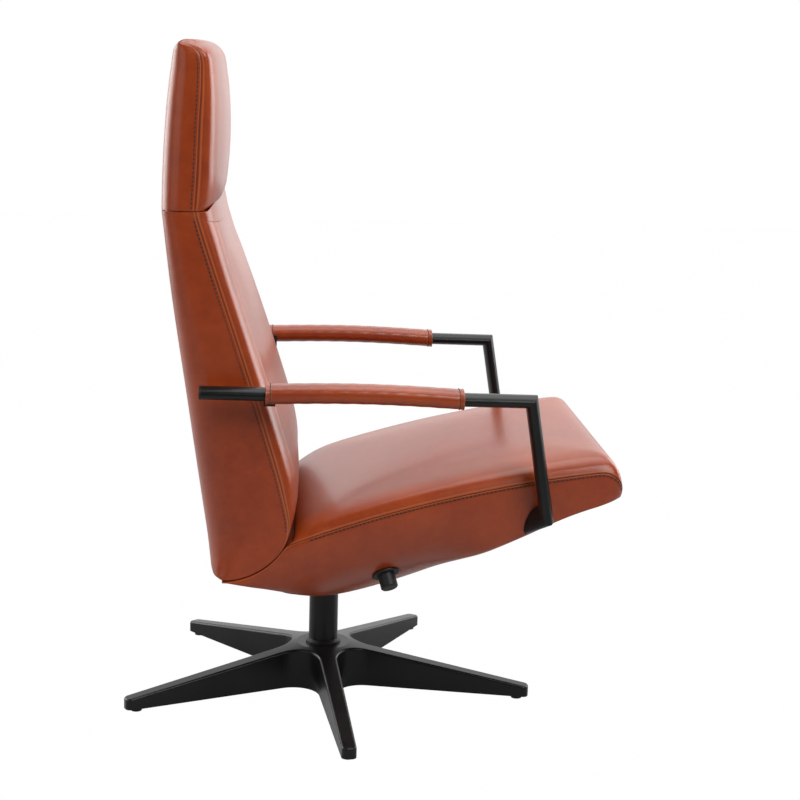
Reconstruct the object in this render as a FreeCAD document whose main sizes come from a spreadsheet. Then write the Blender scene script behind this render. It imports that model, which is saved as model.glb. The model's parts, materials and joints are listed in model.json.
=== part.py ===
import FreeCAD, Part
import math
import os
import re
import Sketcher
from FreeCAD import Placement, Rotation, Vector

# Swivel recliner on a five-legged base. Millimetres, +Z up, the sitter faces -Y.
# The origin is on the floor, on the axis of the stand column.

sizes = {
    # star base and glides
    "leg_count": 5,
    "leg_turn": 12.5,
    "leg_reach": 362,
    "leg_root_width": 32,
    "leg_tip_width": 24,
    "leg_valley_radius": 45,
    "leg_underside": 5,
    "leg_edge_round": 4,
    "leg_tip_round": 9,
    "tip_height": 18,
    "hub_radius": 46,
    "hub_height": 71,
    "glide_radius": 9,
    "glide_inset": 20,
    "glide_stem_radius": 4,
    "glide_stem_length": 8,
    # stand column and spindle
    "column_radius": 25,
    "column_wall": 4,
    "column_floor": 6,
    "column_foot": 16,
    "column_top": 194,
    "collar_width": 5,
    "collar_height": 7,
    "bush_flange": 3,
    "bush_length": 30,
    "washer_thickness": 3,
    "spindle_radius": 14,
    "running_gap": 0.05,
    "fit_gap": 0.1,
    "soft_gap": 0.3,
    # chassis inside the seat
    "chassis_floor": 226,
    "plate_thickness": 6,
    "plate_half_width": 132,
    "plate_front": 40,
    "plate_rear": 62,
    "flange_radius": 44,
    "flange_thickness": 8,
    "bolt_count": 4,
    "bolt_circle": 32,
    "bolt_radius": 4,
    "bolt_head_radius": 6.5,
    "bolt_head_height": 5,
    # recline hinge, its ears and brackets
    "hinge_y": 170,
    "hinge_z": 380,
    "hinge_x": 110,
    "recline": 22,
    "back_arc_radius": 115.5,
    "cradle_gap": 1.5,
    "ear_angle": 52,
    "ear_half_width": 12,
    "ear_length": 165,
    "sheet_metal": 6,
    "hinge_pin_radius": 6,
    "bracket_gap": 1,
    # seat frame
    "rail_height": 38,
    "rail_front": 385,
    "rail_slope": 22,
    "arm_rail_radius": 12.5,
    "arm_rail_y": -226,
    "arm_rail_z": 336,
    "nose_rail_radius": 9,
    "nose_rail_y": -368,
    "nose_rail_z": 389,
    "nose_rail_half": 215,
    "rear_rail_y": 22,
    "rear_rail_z": 254,
    # seat upholstery, seen from the side
    "seam_rear_y": 47,
    "seam_rear_z": 331,
    "seam_middle_y": -181,
    "seam_middle_z": 401,
    "seam_front_y": -430,
    "seam_front_z": 447,
    "belly_tail_y": 158,
    "belly_tail_z": 240,
    "belly_low_y": 25,
    "belly_low_z": 209,
    "belly_turn_y": -79,
    "belly_turn_z": 224,
    "belly_front_y": -439,
    "belly_front_z": 370,
    "nose_y": -475,
    "nose_z": 413,
    "nose_top_y": -420,
    "tail_swell": 7.5,
    "chin_swell": 6.875,
    "bridge_swell": 11,
    # seat upholstery, seen from the front
    "seat_half_width": 270,
    "seat_edge": 45,
    "seat_edge_rise": 24,
    "edge_in_share": 0.25,
    "edge_up_share": 0.72,
    "seat_crown": 40,
    "seat_side_fall": 46,
    "seat_side_tuck": 6,
    "knee_half_width": 215,
    "knee_depth": 113,
    "knee_swell": 7.5,
    "keel_half_width": 110,
    "keel_depth": 152,
    "keel_swell": 5,
    "nose_corner": 55,
    "shell_wall": 16,
    "hollow_low_angle": 45,
    "hollow_high_angle": 20,
    "plan_spare": 1,
    "webbing_count": 5,
    "webbing_width": 55,
    "webbing_thickness": 2,
    "webbing_drop": 6,
    # back and head upholstery
    "back_half_width": 262,
    "neck_half_width": 248,
    "head_half_width": 244,
    "rear_low_y": 190,
    "rear_low_z": 300,
    "rear_corner_swell": 7,
    "back_front_y": 66,
    "back_front_z": 380,
    "back_front_slope": 18,
    "back_front_angle": 4,
    "back_crown": 30,
    "back_edge": 50,
    "back_edge_rise": 17,
    "rear_edge": 20,
    "neck_z": 848,
    "neck_rear_y": 267,
    "neck_notch": 10,
    "neck_gap": 1,
    "head_front_y": 179,
    "head_front_drop": 125,
    "head_front_spare": 6,
    "head_low_front_y": 188,
    "head_high_front_y": 188,
    "head_high_front_drop": 39,
    "head_top_y": 226,
    "head_top_z": 1105,
    "head_rear_y": 262,
    "head_rear_drop": 145,
    "head_high_rear_y": 247,
    "head_high_rear_drop": 27,
    "head_seam_y": 208,
    "head_lean": 3,
    "head_corner": 26,
    "head_shoulder_share": 0.2,
    # back frame, lever and head frame
    "panel_thickness": 10,
    "panel_lean": 8,
    "panel_start": 42,
    "panel_half_width": 205,
    "panel_margin": 26,
    "window_half_width": 78,
    "window_height": 135,
    "window_pitch": 165,
    "lever_length": 70,
    "lever_half_width": 11,
    "head_panel_half_width": 190,
    "head_panel_drop": 39,
    "head_panel_thickness": 8,
    "head_hinge_x": 120,
    "head_hinge_reach": 30,
    "head_pin_radius": 4,
    "head_boss_radius": 11,
    # gas spring
    "gas_front_y": -30,
    "gas_front_z": 292,
    "gas_radius": 14,
    "gas_length": 80,
    "gas_rod_radius": 5,
    "gas_rod_tail": 51,
    "gas_bore_start": 24,
    "gas_eye_radius": 10,
    "gas_eye_width": 14,
    "gas_pin_radius": 4,
    "gas_open_gap": 1.8,
    "gas_slot_turn": 2,
    "gas_cheek": 4,
    # arms
    "arm_gap": 28.5,
    "arm_tube_width": 40,
    "arm_tube_height": 20.5,
    "arm_rear_y": 204,
    "arm_rear_z": 573,
    "arm_corner_y": -307,
    "arm_corner_z": 565.5,
    "arm_heel_y": -337,
    "arm_heel_z": 385,
    "arm_mount_inset": 58,
    "arm_mount_y": -293,
    "arm_mount_z": 340,
    "arm_flange": 6,
    "arm_flange_front": 13.2,
    "arm_flange_below": 5.5,
    "arm_flange_above": 15.4,
    "arm_bolt_radius": 4,
    "arm_bolt_grip": 9,
    "arm_cap": 3,
    "sleeve_rear_y": 103,
    "sleeve_front_y": -201,
    "sleeve_width": 50,
    "sleeve_height": 30,
    "sleeve_swell": 0.8,
    "sleeve_lift": 1.5,
    "guide_length": 18,
    "guide_depth": 10,
    "guide_rear_y": 106,
    # release knob
    "knob_seam_y": -61,
    "knob_depth": 111,
    "knob_radius": 14,
    "knob_length": 28,
    "knob_travel": 6,
    "knob_chamfer": 2,
    "rosette_radius": 22.5,
    "rosette_rim": 3,
    "rosette_sleeve": 2,
    "rosette_recess": 3,
    "rosette_floor": 2,
    "rosette_depth": 13,
    "knob_stem_radius": 2,
    "cable_radius": 4,
    "cable_bore_depth": 12,
    "cable_bend_share": 0.45,
}

doc = FreeCAD.newDocument("recliner")
sheet = doc.addObject("Spreadsheet::Sheet", "Sizes")
for row, (name, number) in enumerate(sizes.items(), 1):
    sheet.set("A%d" % row, name)
    sheet.set("B%d" % row, str(number))
    sheet.setAlias("B%d" % row, name)
doc.recompute()

x_axis = Vector(1, 0, 0)
y_axis = Vector(0, 1, 0)
z_axis = Vector(0, 0, 1)


def bind(formula):
    """A formula in the names of sizes, written for the sheet's cells."""
    def cell(word):
        return "Sizes." + word.group() if word.group() in sizes else word.group()
    return re.sub(r"[a-z_]+", cell, str(formula))


def size(formula):
    return float(sheet.evalExpression(bind(formula)))


def place(piece, at=("0", "0", "0"), axis=z_axis, turn="0"):
    piece.Placement = Placement(Vector(*[size(part) for part in at]), Rotation(axis, size(turn)))
    for letter, formula in zip("xyz", at):
        piece.setExpression("Placement.Base." + letter, bind(formula))
    if turn != "0":
        piece.setExpression("Placement.Rotation.Angle", bind(turn))
    return piece


def outline(body, plane, points):
    """A closed outline of straight lines in a body, each corner bound to two formulas."""
    sketch = body.newObject("Sketcher::SketchObject", body.Name + "_outline")
    origin = [part for part in body.Origin.OriginFeatures if part.Role == plane + "_Plane"]
    sketch.AttachmentSupport = [(origin[0], "")]
    sketch.MapMode = "FlatFace"
    corners = [Vector(size(across), size(up), 0) for across, up in points]
    for number, corner in enumerate(corners):
        following = corners[(number + 1) % len(corners)]
        sketch.addGeometry(Part.LineSegment(corner, following), False)
    for number, (across, up) in enumerate(points):
        following = (number + 1) % len(points)
        sketch.addConstraint(Sketcher.Constraint("Coincident", number, 2, following, 1))
        for kind, rule, axis in (("DistanceX", across, -2), ("DistanceY", up, -1)):
            if rule == "0":
                sketch.addConstraint(Sketcher.Constraint("PointOnObject", number, 1, axis))
                continue
            held = sketch.addConstraint(Sketcher.Constraint(kind, -1, 1, number, 1, size(rule)))
            sketch.setExpression("Constraints[%d]" % held, bind(rule))
    return sketch


def new_body(label):
    body = doc.addObject("PartDesign::Body", label)
    body.Label = label
    return body


def padded(label, plane, points, length, side="Symmetric"):
    body = new_body(label)
    pad = body.newObject("PartDesign::Pad", label + "_pad")
    pad.Profile = outline(body, plane, points)
    pad.SideType = side
    pad.setExpression("Length", bind(length))
    return body


def turned(label, points):
    """A profile of (radius, height) corners turned about the upright axis."""
    body = new_body(label)
    turn = body.newObject("PartDesign::Revolution", label + "_turn")
    turn.Profile = outline(body, "XZ", points)
    turn.ReferenceAxis = (turn.Profile[0], ["V_Axis"])
    turn.Angle = 360
    return body


def rod(label, radius, length, at, axis=x_axis):
    """A round bar centred on a point, along X unless another axis is given."""
    bar = doc.addObject("Part::Cylinder", label)
    bar.setExpression("Radius", bind(radius))
    bar.setExpression("Height", bind(length))
    start = [size(part) - size(length) / 2 * way for part, way in zip(at, axis)]
    bar.Placement = Placement(Vector(*start), Rotation(z_axis, axis))
    for letter, part, way in zip("xyz", at, axis):
        bar.setExpression("Placement.Base." + letter, bind("%s - (%s) / 2 * %d" % (part, length, way)))
    return bar


def block(label, low, high):
    """An upright box between two corners."""
    box = doc.addObject("Part::Box", label)
    for side, start, end in zip(("Length", "Width", "Height"), low, high):
        box.setExpression(side, bind("(%s) - (%s)" % (end, start)))
    return place(box, low)


def join(label, pieces):
    fuse = doc.addObject("Part::MultiFuse", label)
    fuse.Shapes = pieces
    return fuse


def group(label, pieces):
    """Separate solids that share one node."""
    compound = doc.addObject("Part::Compound", label)
    compound.Links = pieces
    return compound


def cut(label, base, tool):
    piece = doc.addObject("Part::Cut", label)
    piece.Base = base
    piece.Tool = tool
    return piece


def common(label, pieces):
    piece = doc.addObject("Part::MultiCommon", label)
    piece.Shapes = pieces
    return piece


def mirrored(label, source):
    piece = doc.addObject("Part::Mirroring", label)
    piece.Source = source
    piece.Base = Vector(0, 0, 0)
    piece.Normal = x_axis
    return piece


def shaped(label, shape):
    piece = doc.addObject("Part::Feature", label)
    piece.Shape = shape
    return piece


def line(start, end):
    return Part.LineSegment(start, end).toShape()


def arc(start, middle, end):
    return Part.Arc(start, middle, end).toShape()


def prism(edges, along):
    return Part.Face(Part.Wire(edges)).extrude(along)


def across(edges, half):
    """A side outline in YZ carried across the chair to both sides."""
    solid = prism(edges, Vector(2 * half, 0, 0))
    solid.translate(Vector(-half, 0, 0))
    return solid


def side(y, z):
    return Vector(0, y, z)


def polar(centre, radius, angle):
    """A side point at an angle below the forward direction from a centre."""
    turn = math.radians(angle)
    return centre + Vector(0, -radius * math.cos(turn), -radius * math.sin(turn))


def bar_about(pivot, angle, half, reach, low_x, high_x):
    """A flat bar that leaves a pivot at an angle below the forward direction."""
    bar = Part.makeBox(high_x - low_x, reach, 2 * half, Vector(low_x, -reach, -half))
    bar.rotate(Vector(0, 0, 0), x_axis, angle)
    bar.translate(pivot)
    return bar


def swept_bar(pivot, first, last, half, reach, low_x, high_x):
    """The room a bar takes as it swings about a pivot: both end places and the sector between."""
    middle = (first + last) / 2
    edges = [line(pivot, polar(pivot, reach, first)),
             arc(polar(pivot, reach, first), polar(pivot, reach, middle), polar(pivot, reach, last)),
             line(polar(pivot, reach, last), pivot)]
    sector = prism(edges, Vector(high_x - low_x, 0, 0))
    sector.translate(Vector(low_x, 0, 0))
    ends = [bar_about(pivot, angle, half, reach, low_x, high_x) for angle in (first, last)]
    return sector.fuse(ends).removeSplitter()


def link_plate(start, end, half, low_x, high_x):
    """A flat link with round ends between two side points."""
    run = end - start
    normal = Vector(0, -run.z, run.y).normalize() * half
    edges = [line(start + normal, end + normal), line(end + normal, end - normal),
             line(end - normal, start - normal), line(start - normal, start + normal)]
    plate = prism(edges, Vector(high_x - low_x, 0, 0))
    plate.translate(Vector(low_x, 0, 0))
    bosses = [Part.makeCylinder(half, high_x - low_x, point + Vector(low_x, 0, 0), x_axis)
              for point in (start, end)]
    return plate.fuse(bosses).removeSplitter()


hinge = side(size("hinge_y"), size("hinge_z"))
soft_gap = size("soft_gap")
panel_up = Vector(0, math.sin(math.radians(size("panel_lean"))), math.cos(math.radians(size("panel_lean"))))
neck = hinge + panel_up * (size("neck_z - hinge_z") / panel_up.z)
gas_front = side(size("gas_front_y"), size("gas_front_z"))
lever_end = hinge - Vector(0, 0, size("lever_length"))
hinge_x = size("hinge_x")
arm_x = "(seat_half_width + arm_gap)"
arm_mount_x = "(seat_half_width - arm_mount_inset)"
head_hinge_x = size("head_hinge_x")


# Star base: blades patterned round the column, cut to a low cone
def make_star_base():
    half_root = "leg_root_width / 2"
    half_tip = "leg_tip_width / 2"
    star = padded("star_plan", "XY", [("-" + half_root, "0"), ("-" + half_tip, "-leg_reach"),
                                      (half_tip, "-leg_reach"), (half_root, "0")],
                  "leg_underside + hub_height", "One side")
    blade = star.Tip
    pattern = star.newObject("PartDesign::PolarPattern", "legs")
    pattern.Originals = [blade]
    pattern.Axis = (blade.Profile[0], ["N_Axis"])
    pattern.Angle = 360
    pattern.setExpression("Occurrences", bind("leg_count"))
    star.Tip = pattern
    doc.recompute()

    def upright(blank, inner, outer):
        names = []
        for number, edge in enumerate(blank.Shape.Edges, 1):
            low, high = edge.Vertexes[0].Point, edge.Vertexes[-1].Point
            radius = math.hypot(low.x, low.y)
            flat = math.hypot(high.x - low.x, high.y - low.y)
            if flat < size("fit_gap") and inner < radius < outer:
                names.append("Edge%d" % number)
        return names

    valley = star.newObject("PartDesign::Fillet", "valleys")
    valley.Base = (pattern, upright(pattern, 0, size("leg_reach / 2")))
    valley.setExpression("Radius", bind("leg_valley_radius"))
    doc.recompute()
    tips = star.newObject("PartDesign::Fillet", "leg_tips")
    tips.Base = (valley, upright(valley, size("leg_reach / 2"), 2 * size("leg_reach")))
    tips.setExpression("Radius", bind("leg_tip_round"))
    star.Tip = tips
    place(star, turn="-leg_turn")
    cone = turned("base_cone", [("0", "leg_underside"), ("leg_reach", "leg_underside"),
                                ("leg_reach", "leg_underside + tip_height"),
                                ("hub_radius", "leg_underside + hub_height"),
                                ("0", "leg_underside + hub_height")])
    blank = common("base_blank", [star, cone])
    bore = rod("base_bore", "column_radius + fit_gap", "2 * hub_height + 2 * leg_underside",
               ("0", "0", "column_foot + hub_height + leg_underside"), z_axis)
    holes = glide_row("glide_hole", "glide_stem_radius + fit_gap", "0",
                      "leg_underside + glide_stem_length + fit_gap")
    drilled = cut("base_drilled", blank, join("base_holes", [bore] + holes))
    doc.recompute()
    rounded = doc.addObject("Part::Fillet", "star_base")
    rounded.Base = drilled
    radius = size("leg_edge_round")
    chosen = []
    for number, edge in enumerate(drilled.Shape.Edges, 1):
        ends = [point.Point for point in edge.Vertexes]
        reach = [math.hypot(point.x, point.y) for point in ends]
        long_top = len(ends) == 2 and abs(ends[0].z - ends[1].z) > size("hub_height") / 4
        if long_top and edge.Length > size("leg_reach") / 3 and min(reach) > size("column_radius"):
            chosen.append((number, radius, radius))
    rounded.Edges = chosen
    return rounded


def glide_row(label, radius, low, high):
    """One upright bar under each leg tip."""
    row = []
    for number in range(int(size("leg_count"))):
        bar = doc.addObject("Part::Cylinder", "%s_%d" % (label, number + 1))
        bar.setExpression("Radius", bind(radius))
        bar.setExpression("Height", bind("%s - (%s)" % (high, low)))
        spread = "(leg_turn + %d * 360 / leg_count) * 1 deg" % number
        place(bar, ("-(leg_reach - glide_inset) * sin(%s)" % spread,
                    "-(leg_reach - glide_inset) * cos(%s)" % spread, low))
        row.append(bar)
    return row


def make_floor_glides():
    pads = glide_row("glide_pad", "glide_radius", "0", "leg_underside")
    stems = glide_row("glide_stem", "glide_stem_radius", "leg_underside",
                      "leg_underside + glide_stem_length")
    return group("floor_glides", [join("glide_%d" % (number + 1), list(pair))
                                  for number, pair in enumerate(zip(pads, stems))])


# Stand column, bushes and the spindle that turns in it
def make_column():
    inside = "column_radius - column_wall"
    tube = turned("column_tube", [("0", "column_foot"), ("column_radius", "column_foot"),
                                  ("column_radius", "column_top"), (inside, "column_top"),
                                  (inside, "column_foot + column_floor"), ("0", "column_foot + column_floor")])
    hub_top = "leg_underside + hub_height"
    collar = turned("column_collar", [("column_radius + fit_gap", hub_top),
                                      ("column_radius + collar_width", hub_top),
                                      ("column_radius + collar_width", hub_top + " + collar_height / 2"),
                                      ("column_radius + fit_gap", hub_top + " + collar_height")])
    bore = "spindle_radius + running_gap"
    wall = "column_radius - column_wall - fit_gap"
    upper = turned("upper_bush", [(bore, "column_top - bush_length"), (wall, "column_top - bush_length"),
                                  (wall, "column_top"), ("column_radius", "column_top"),
                                  ("column_radius", "column_top + bush_flange"),
                                  (bore, "column_top + bush_flange")])
    seat = "column_foot + column_floor + washer_thickness"
    lower = turned("lower_bush", [(bore, seat), (wall, seat), (wall, seat + " + bush_length"),
                                  (bore, seat + " + bush_length")])
    washer = turned("thrust_washer", [("0", "column_foot + column_floor"), (wall, "column_foot + column_floor"),
                                      (wall, seat), ("0", seat)])
    spindle = turned("spindle", [("0", seat), ("spindle_radius", seat),
                                 ("spindle_radius", "chassis_floor - flange_thickness"),
                                 ("flange_radius", "chassis_floor - flange_thickness"),
                                 ("flange_radius", "chassis_floor"), ("0", "chassis_floor")])
    drilled = cut("swivel_spindle", spindle, join("flange_holes", bolt_row("flange_hole", bolt_hole,
                                                                          flange_low, "chassis_floor")))
    return [tube, collar, upper, lower, washer, drilled]


bolt_hole = "bolt_radius + fit_gap"
flange_low = "chassis_floor - flange_thickness"
plate_top = "chassis_floor + plate_thickness"


def bolt_row(label, radius, low, high):
    """Upright bars on the bolt circle of the spindle flange."""
    row = []
    for number in range(int(size("bolt_count"))):
        bar = doc.addObject("Part::Cylinder", "%s_%d" % (label, number + 1))
        bar.setExpression("Radius", bind(radius))
        bar.setExpression("Height", bind("%s - (%s)" % (high, low)))
        spread = "(%d + 0.5) * 360 / bolt_count * 1 deg" % number
        place(bar, ("bolt_circle * cos(%s)" % spread, "bolt_circle * sin(%s)" % spread, low))
        row.append(bar)
    return row


def make_chassis():
    sheet_plate = block("chassis_sheet", ("-plate_half_width", "-plate_front", "chassis_floor"),
                        ("plate_half_width", "plate_rear", plate_top))
    plate = cut("chassis_plate", sheet_plate,
                join("plate_holes", bolt_row("plate_hole", bolt_hole, "chassis_floor", plate_top)))
    shanks = bolt_row("bolt_shank", "bolt_radius", flange_low, plate_top)
    heads = bolt_row("bolt_head", "bolt_head_radius", plate_top, plate_top + " + bolt_head_height")
    bolts = group("chassis_bolts", [join("chassis_bolt_%d" % (number + 1), list(pair))
                                    for number, pair in enumerate(zip(shanks, heads))])
    return [plate, bolts]


# Bracket, cylinder and rod of the lockable gas spring
def make_gas_spring():
    cheek_low = "gas_eye_width / 2 + bracket_gap"
    cheek_high = cheek_low + " + gas_cheek"
    foot_front, foot_rear = "gas_front_y - gas_eye_radius", "gas_front_y + 2 * gas_eye_radius"
    floor = block("bracket_foot", ("-(%s)" % cheek_high, foot_front, plate_top),
                  (cheek_high, foot_rear, plate_top + " + gas_cheek"))
    cheeks = [block("bracket_cheek_1", (cheek_low, foot_front, plate_top),
                    (cheek_high, "gas_front_y + gas_eye_radius", "gas_front_z + gas_eye_radius")),
              block("bracket_cheek_2", ("-(%s)" % cheek_high, foot_front, plate_top),
                    ("-(%s)" % cheek_low, "gas_front_y + gas_eye_radius", "gas_front_z + gas_eye_radius"))]
    pin_at = ("0", "gas_front_y", "gas_front_z")
    bracket = cut("gas_spring_bracket", join("bracket_blank", [floor] + cheeks),
                  rod("bracket_bore", "gas_pin_radius + running_gap", "2 * (%s)" % cheek_high, pin_at))
    pin = rod("gas_spring_pin", "gas_pin_radius", "2 * (%s) + 2 * bracket_gap" % cheek_high, pin_at)
    way = lever_end - gas_front
    aim = Placement(gas_front, Rotation(z_axis, way))
    tube = turned("gas_tube", [("0", "gas_eye_radius / 2"), ("gas_eye_radius / 2", "gas_eye_radius / 2"),
                               ("gas_radius", "2 * gas_eye_radius"), ("gas_radius", "gas_length"),
                               ("gas_rod_radius + running_gap", "gas_length"),
                               ("gas_rod_radius + running_gap", "gas_bore_start"), ("0", "gas_bore_start")])
    tube.Placement = aim
    eye = rod("gas_front_eye", "gas_eye_radius", "gas_eye_width", pin_at)
    bore = rod("gas_front_bore", "gas_pin_radius + running_gap", "2 * gas_eye_width", pin_at)
    cylinder = cut("gas_cylinder", join("gas_cylinder_blank", [tube, eye]), bore)
    reach = way.Length
    stick = doc.addObject("Part::Cylinder", "gas_stick")
    stick.setExpression("Radius", bind("gas_rod_radius"))
    stick.Height = reach - size("gas_rod_tail") - size("gas_eye_radius") / 2
    stick.Placement = aim.multiply(Placement(Vector(0, 0, size("gas_rod_tail")), Rotation()))
    end_at = ("0", "hinge_y", "hinge_z - lever_length")
    rod_eye = rod("gas_rear_eye", "gas_eye_radius", "gas_eye_width", end_at)
    open_bore = rod("gas_rear_bore", "gas_pin_radius + gas_open_gap", "2 * gas_eye_width", end_at)
    piston = cut("gas_rod", join("gas_rod_blank", [stick, rod_eye]), open_bore)
    return [bracket, pin, cylinder, piston]


# Seat frame: two laser-cut rails that rise into the hinge ears, joined by round tubes
def make_seat_frame():
    rise = "tan(rail_slope * 1 deg)"
    tip_low = "%s + (rail_front - plate_front) * %s" % (plate_top, rise)
    profile = [("plate_rear", plate_top), ("-plate_front", plate_top), ("-rail_front", tip_low),
               ("-rail_front", tip_low + " + rail_height"), ("-plate_front", plate_top + " + rail_height"),
               ("plate_rear", plate_top + " + rail_height")]
    pieces = []
    for number, way in enumerate((1, -1), 1):
        rail = padded("seat_rail_%d" % number, "YZ", profile, "sheet_metal")
        pieces.append(place(rail, ("%d * hinge_x" % way, "0", "0")))
    doc.recompute()
    half = size("sheet_metal") / 2
    for way in (1, -1):
        low = way * hinge_x - half
        ear = bar_about(hinge, size("ear_angle"), size("ear_half_width"), size("ear_length"), low, low + 2 * half)
        trim = Part.makeBox(2 * half, 2 * size("ear_length"), 2 * size("ear_length"),
                            Vector(low, hinge.y - size("ear_length"), size(plate_top)))
        boss = Part.makeCylinder(size("ear_half_width"), 2 * half, hinge + Vector(low, 0, 0), x_axis)
        pieces.append(shaped("hinge_ear", ear.common(trim).fuse(boss).removeSplitter()))
    arm_at = ("0", "arm_rail_y", "arm_rail_z")
    pieces.append(rod("arm_rail", "arm_rail_radius", "2 * (%s - arm_flange)" % arm_mount_x, arm_at))
    pieces.append(rod("nose_rail", "nose_rail_radius", "2 * nose_rail_half",
                      ("0", "nose_rail_y", "nose_rail_z")))
    pieces.append(rod("rear_rail", "arm_rail_radius", "2 * hinge_x", ("0", "rear_rail_y", "rear_rail_z")))
    bolt_rows = []
    for number, way in enumerate((1, -1), 1):
        inner = "%d * (%s - arm_flange)" % (way, arm_mount_x)
        outer = "%d * %s" % (way, arm_mount_x)
        low, high = (inner, outer) if way > 0 else (outer, inner)
        pieces.append(block("arm_flange_%d" % number,
                            (low, "arm_mount_y - arm_flange_front", "arm_mount_z - arm_flange_below"),
                            (high, "arm_rail_y + arm_rail_radius", "arm_mount_z + arm_flange_above")))
        bolt_rows.append(rod("flange_bore_%d" % number, "arm_bolt_radius + fit_gap", "2 * arm_flange",
                             (outer, "arm_mount_y", "arm_mount_z")))
    pin_bore = rod("ear_bore", "hinge_pin_radius + running_gap", "4 * hinge_x", ("0", "hinge_y", "hinge_z"))
    return cut("seat_frame", join("seat_frame_blank", pieces), join("seat_frame_bores", bolt_rows + [pin_bore]))


# Arm frame: a flat oval tube swept along the top, down the front and in under the seat
def oval(at, way, width, height):
    """A flat oval ring that lies across a direction, with its long axis along X."""
    ring = Part.Ellipse(Vector(0, 0, 0), width / 2, height / 2).toShape()
    ring.Placement = Placement(at, Rotation(x_axis, way.cross(x_axis), way, "ZXY"))
    return Part.Wire([ring])


def arm_path():
    """Centre line of the arm on the side of +X, carried a little past its bolted face."""
    x = size(arm_x)
    heel = Vector(x, size("arm_heel_y"), size("arm_heel_z"))
    mount = Vector(size(arm_mount_x), size("arm_mount_y"), size("arm_mount_z"))
    past = mount + (mount - heel).normalize() * size("arm_tube_width")
    return [Vector(x, size("arm_rear_y - arm_cap"), size("arm_rear_z")),
            Vector(x, size("arm_corner_y"), size("arm_corner_z")), heel, past]


def arm_tube(spare):
    """The whole arm sweep, thicker all round by a spare amount."""
    path = arm_path()
    pipe = Part.BRepOffsetAPI.MakePipeShell(Part.makePolygon(path))
    pipe.setTransitionMode(1)
    way = (path[1] - path[0]).normalize()
    pipe.add(oval(path[0], way, size("arm_tube_width") + 2 * spare, size("arm_tube_height") + 2 * spare))
    pipe.build()
    pipe.makeSolid()
    return pipe.shape()


def top_run(spare, low_y, high_y):
    """A straight stretch of the top tube between two places along the chair."""
    path = arm_path()
    way = (path[1] - path[0]).normalize()
    start = path[0] + way * ((path[0].y - high_y) / -way.y)
    end = path[0] + way * ((path[0].y - low_y) / -way.y)
    ring = oval(start, way, size("arm_tube_width") + 2 * spare, size("arm_tube_height") + 2 * spare)
    return Part.Face(ring).extrude(end - start)


def make_arms():
    inside = Part.makeBox(size(arm_mount_x), 2 * size("leg_reach"), size("arm_rear_z"),
                          Vector(0, -size("leg_reach"), 0))
    mount = Vector(size(arm_mount_x), size("arm_mount_y"), size("arm_mount_z"))
    bolt_room = Part.makeCylinder(size("arm_bolt_radius + fit_gap"), size("arm_bolt_grip + bracket_gap"),
                                  mount, x_axis)
    left = shaped("arm_frame_left", arm_tube(0).cut(inside).cut(bolt_room))
    cap = shaped("arm_cap_left", top_run(0, size("arm_rear_y - arm_cap"), size("arm_rear_y")))
    caps = group("arm_end_caps", [cap, mirrored("arm_cap_right", cap)])
    shank = rod("arm_bolt_shank", "arm_bolt_radius", "arm_flange + arm_bolt_grip",
                (arm_mount_x + " + (arm_bolt_grip - arm_flange) / 2", "arm_mount_y", "arm_mount_z"))
    head = rod("arm_bolt_head", "bolt_head_radius", "bolt_head_height",
               (arm_mount_x + " - arm_flange - bolt_head_height / 2", "arm_mount_y", "arm_mount_z"))
    bolt = join("arm_bolt_left", [shank, head])
    bolts = group("arm_bolts", [bolt, mirrored("arm_bolt_right", bolt)])
    return [left, mirrored("arm_frame_right", left), caps, bolts]


def make_sleeves():
    """A leather sleeve round each top tube, fuller half way along, and the guide block behind it."""
    path = arm_path()
    way = (path[1] - path[0]).normalize()
    rear, front = size("sleeve_rear_y"), size("sleeve_front_y")
    rings = []
    for place_y, swell in ((rear, 0), ((rear + front) / 2, size("sleeve_swell")), (front, 0)):
        at = path[0] + way * ((path[0].y - place_y) / -way.y) + z_axis * size("sleeve_lift")
        rings.append(oval(at, way, size("sleeve_width") + 2 * swell, size("sleeve_height") + 2 * swell))
    spare = size("fit_gap")
    sleeve = Part.makeLoft(rings, True).cut(top_run(spare, size("arm_corner_y"), size("arm_rear_y")))
    left = shaped("arm_sleeve_left", sleeve)
    middle_z = size("arm_rear_z")
    low = Vector(size("back_half_width + cradle_gap"), size("guide_rear_y - guide_length"),
                 middle_z - size("arm_tube_height / 2 + guide_depth"))
    plate = Part.makeBox(size(arm_x + " - back_half_width - cradle_gap"), size("guide_length"),
                         size("guide_depth + arm_tube_height / 2"), low)
    plate = plate.cut(top_run(spare, size("arm_corner_y"), size("arm_rear_y")))
    guide = shaped("arm_guide_left", plate.cut(Part.makeLoft(rings, True)))
    return [left, mirrored("arm_sleeve_right", left), guide, mirrored("arm_guide_right", guide)]


# Seat upholstery: a crowned section carried round the long arc of the side seam,
# trimmed to the side outline and to round nose corners in plan
seam = arc(*[side(size("seam_%s_y" % name), size("seam_%s_z" % name)) for name in ("rear", "middle", "front")])
seam_centre, seam_radius = seam.Curve.Center, seam.Curve.Radius


def seam_turn(y):
    """Angle about the seam's centre, in degrees, at a place along the chair."""
    return -math.degrees(math.asin((y - seam_centre.y) / seam_radius))


def on_section(x, rise):
    return Vector(x, seam_centre.y, seam_centre.z + seam_radius + rise)


def bulge(start, end, swell):
    """Middle point of an arc between two points of the section, swollen outwards."""
    fall = end - start
    return (start + end) / 2 + Vector(-fall.y, fall.x, 0).normalize() * swell


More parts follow.
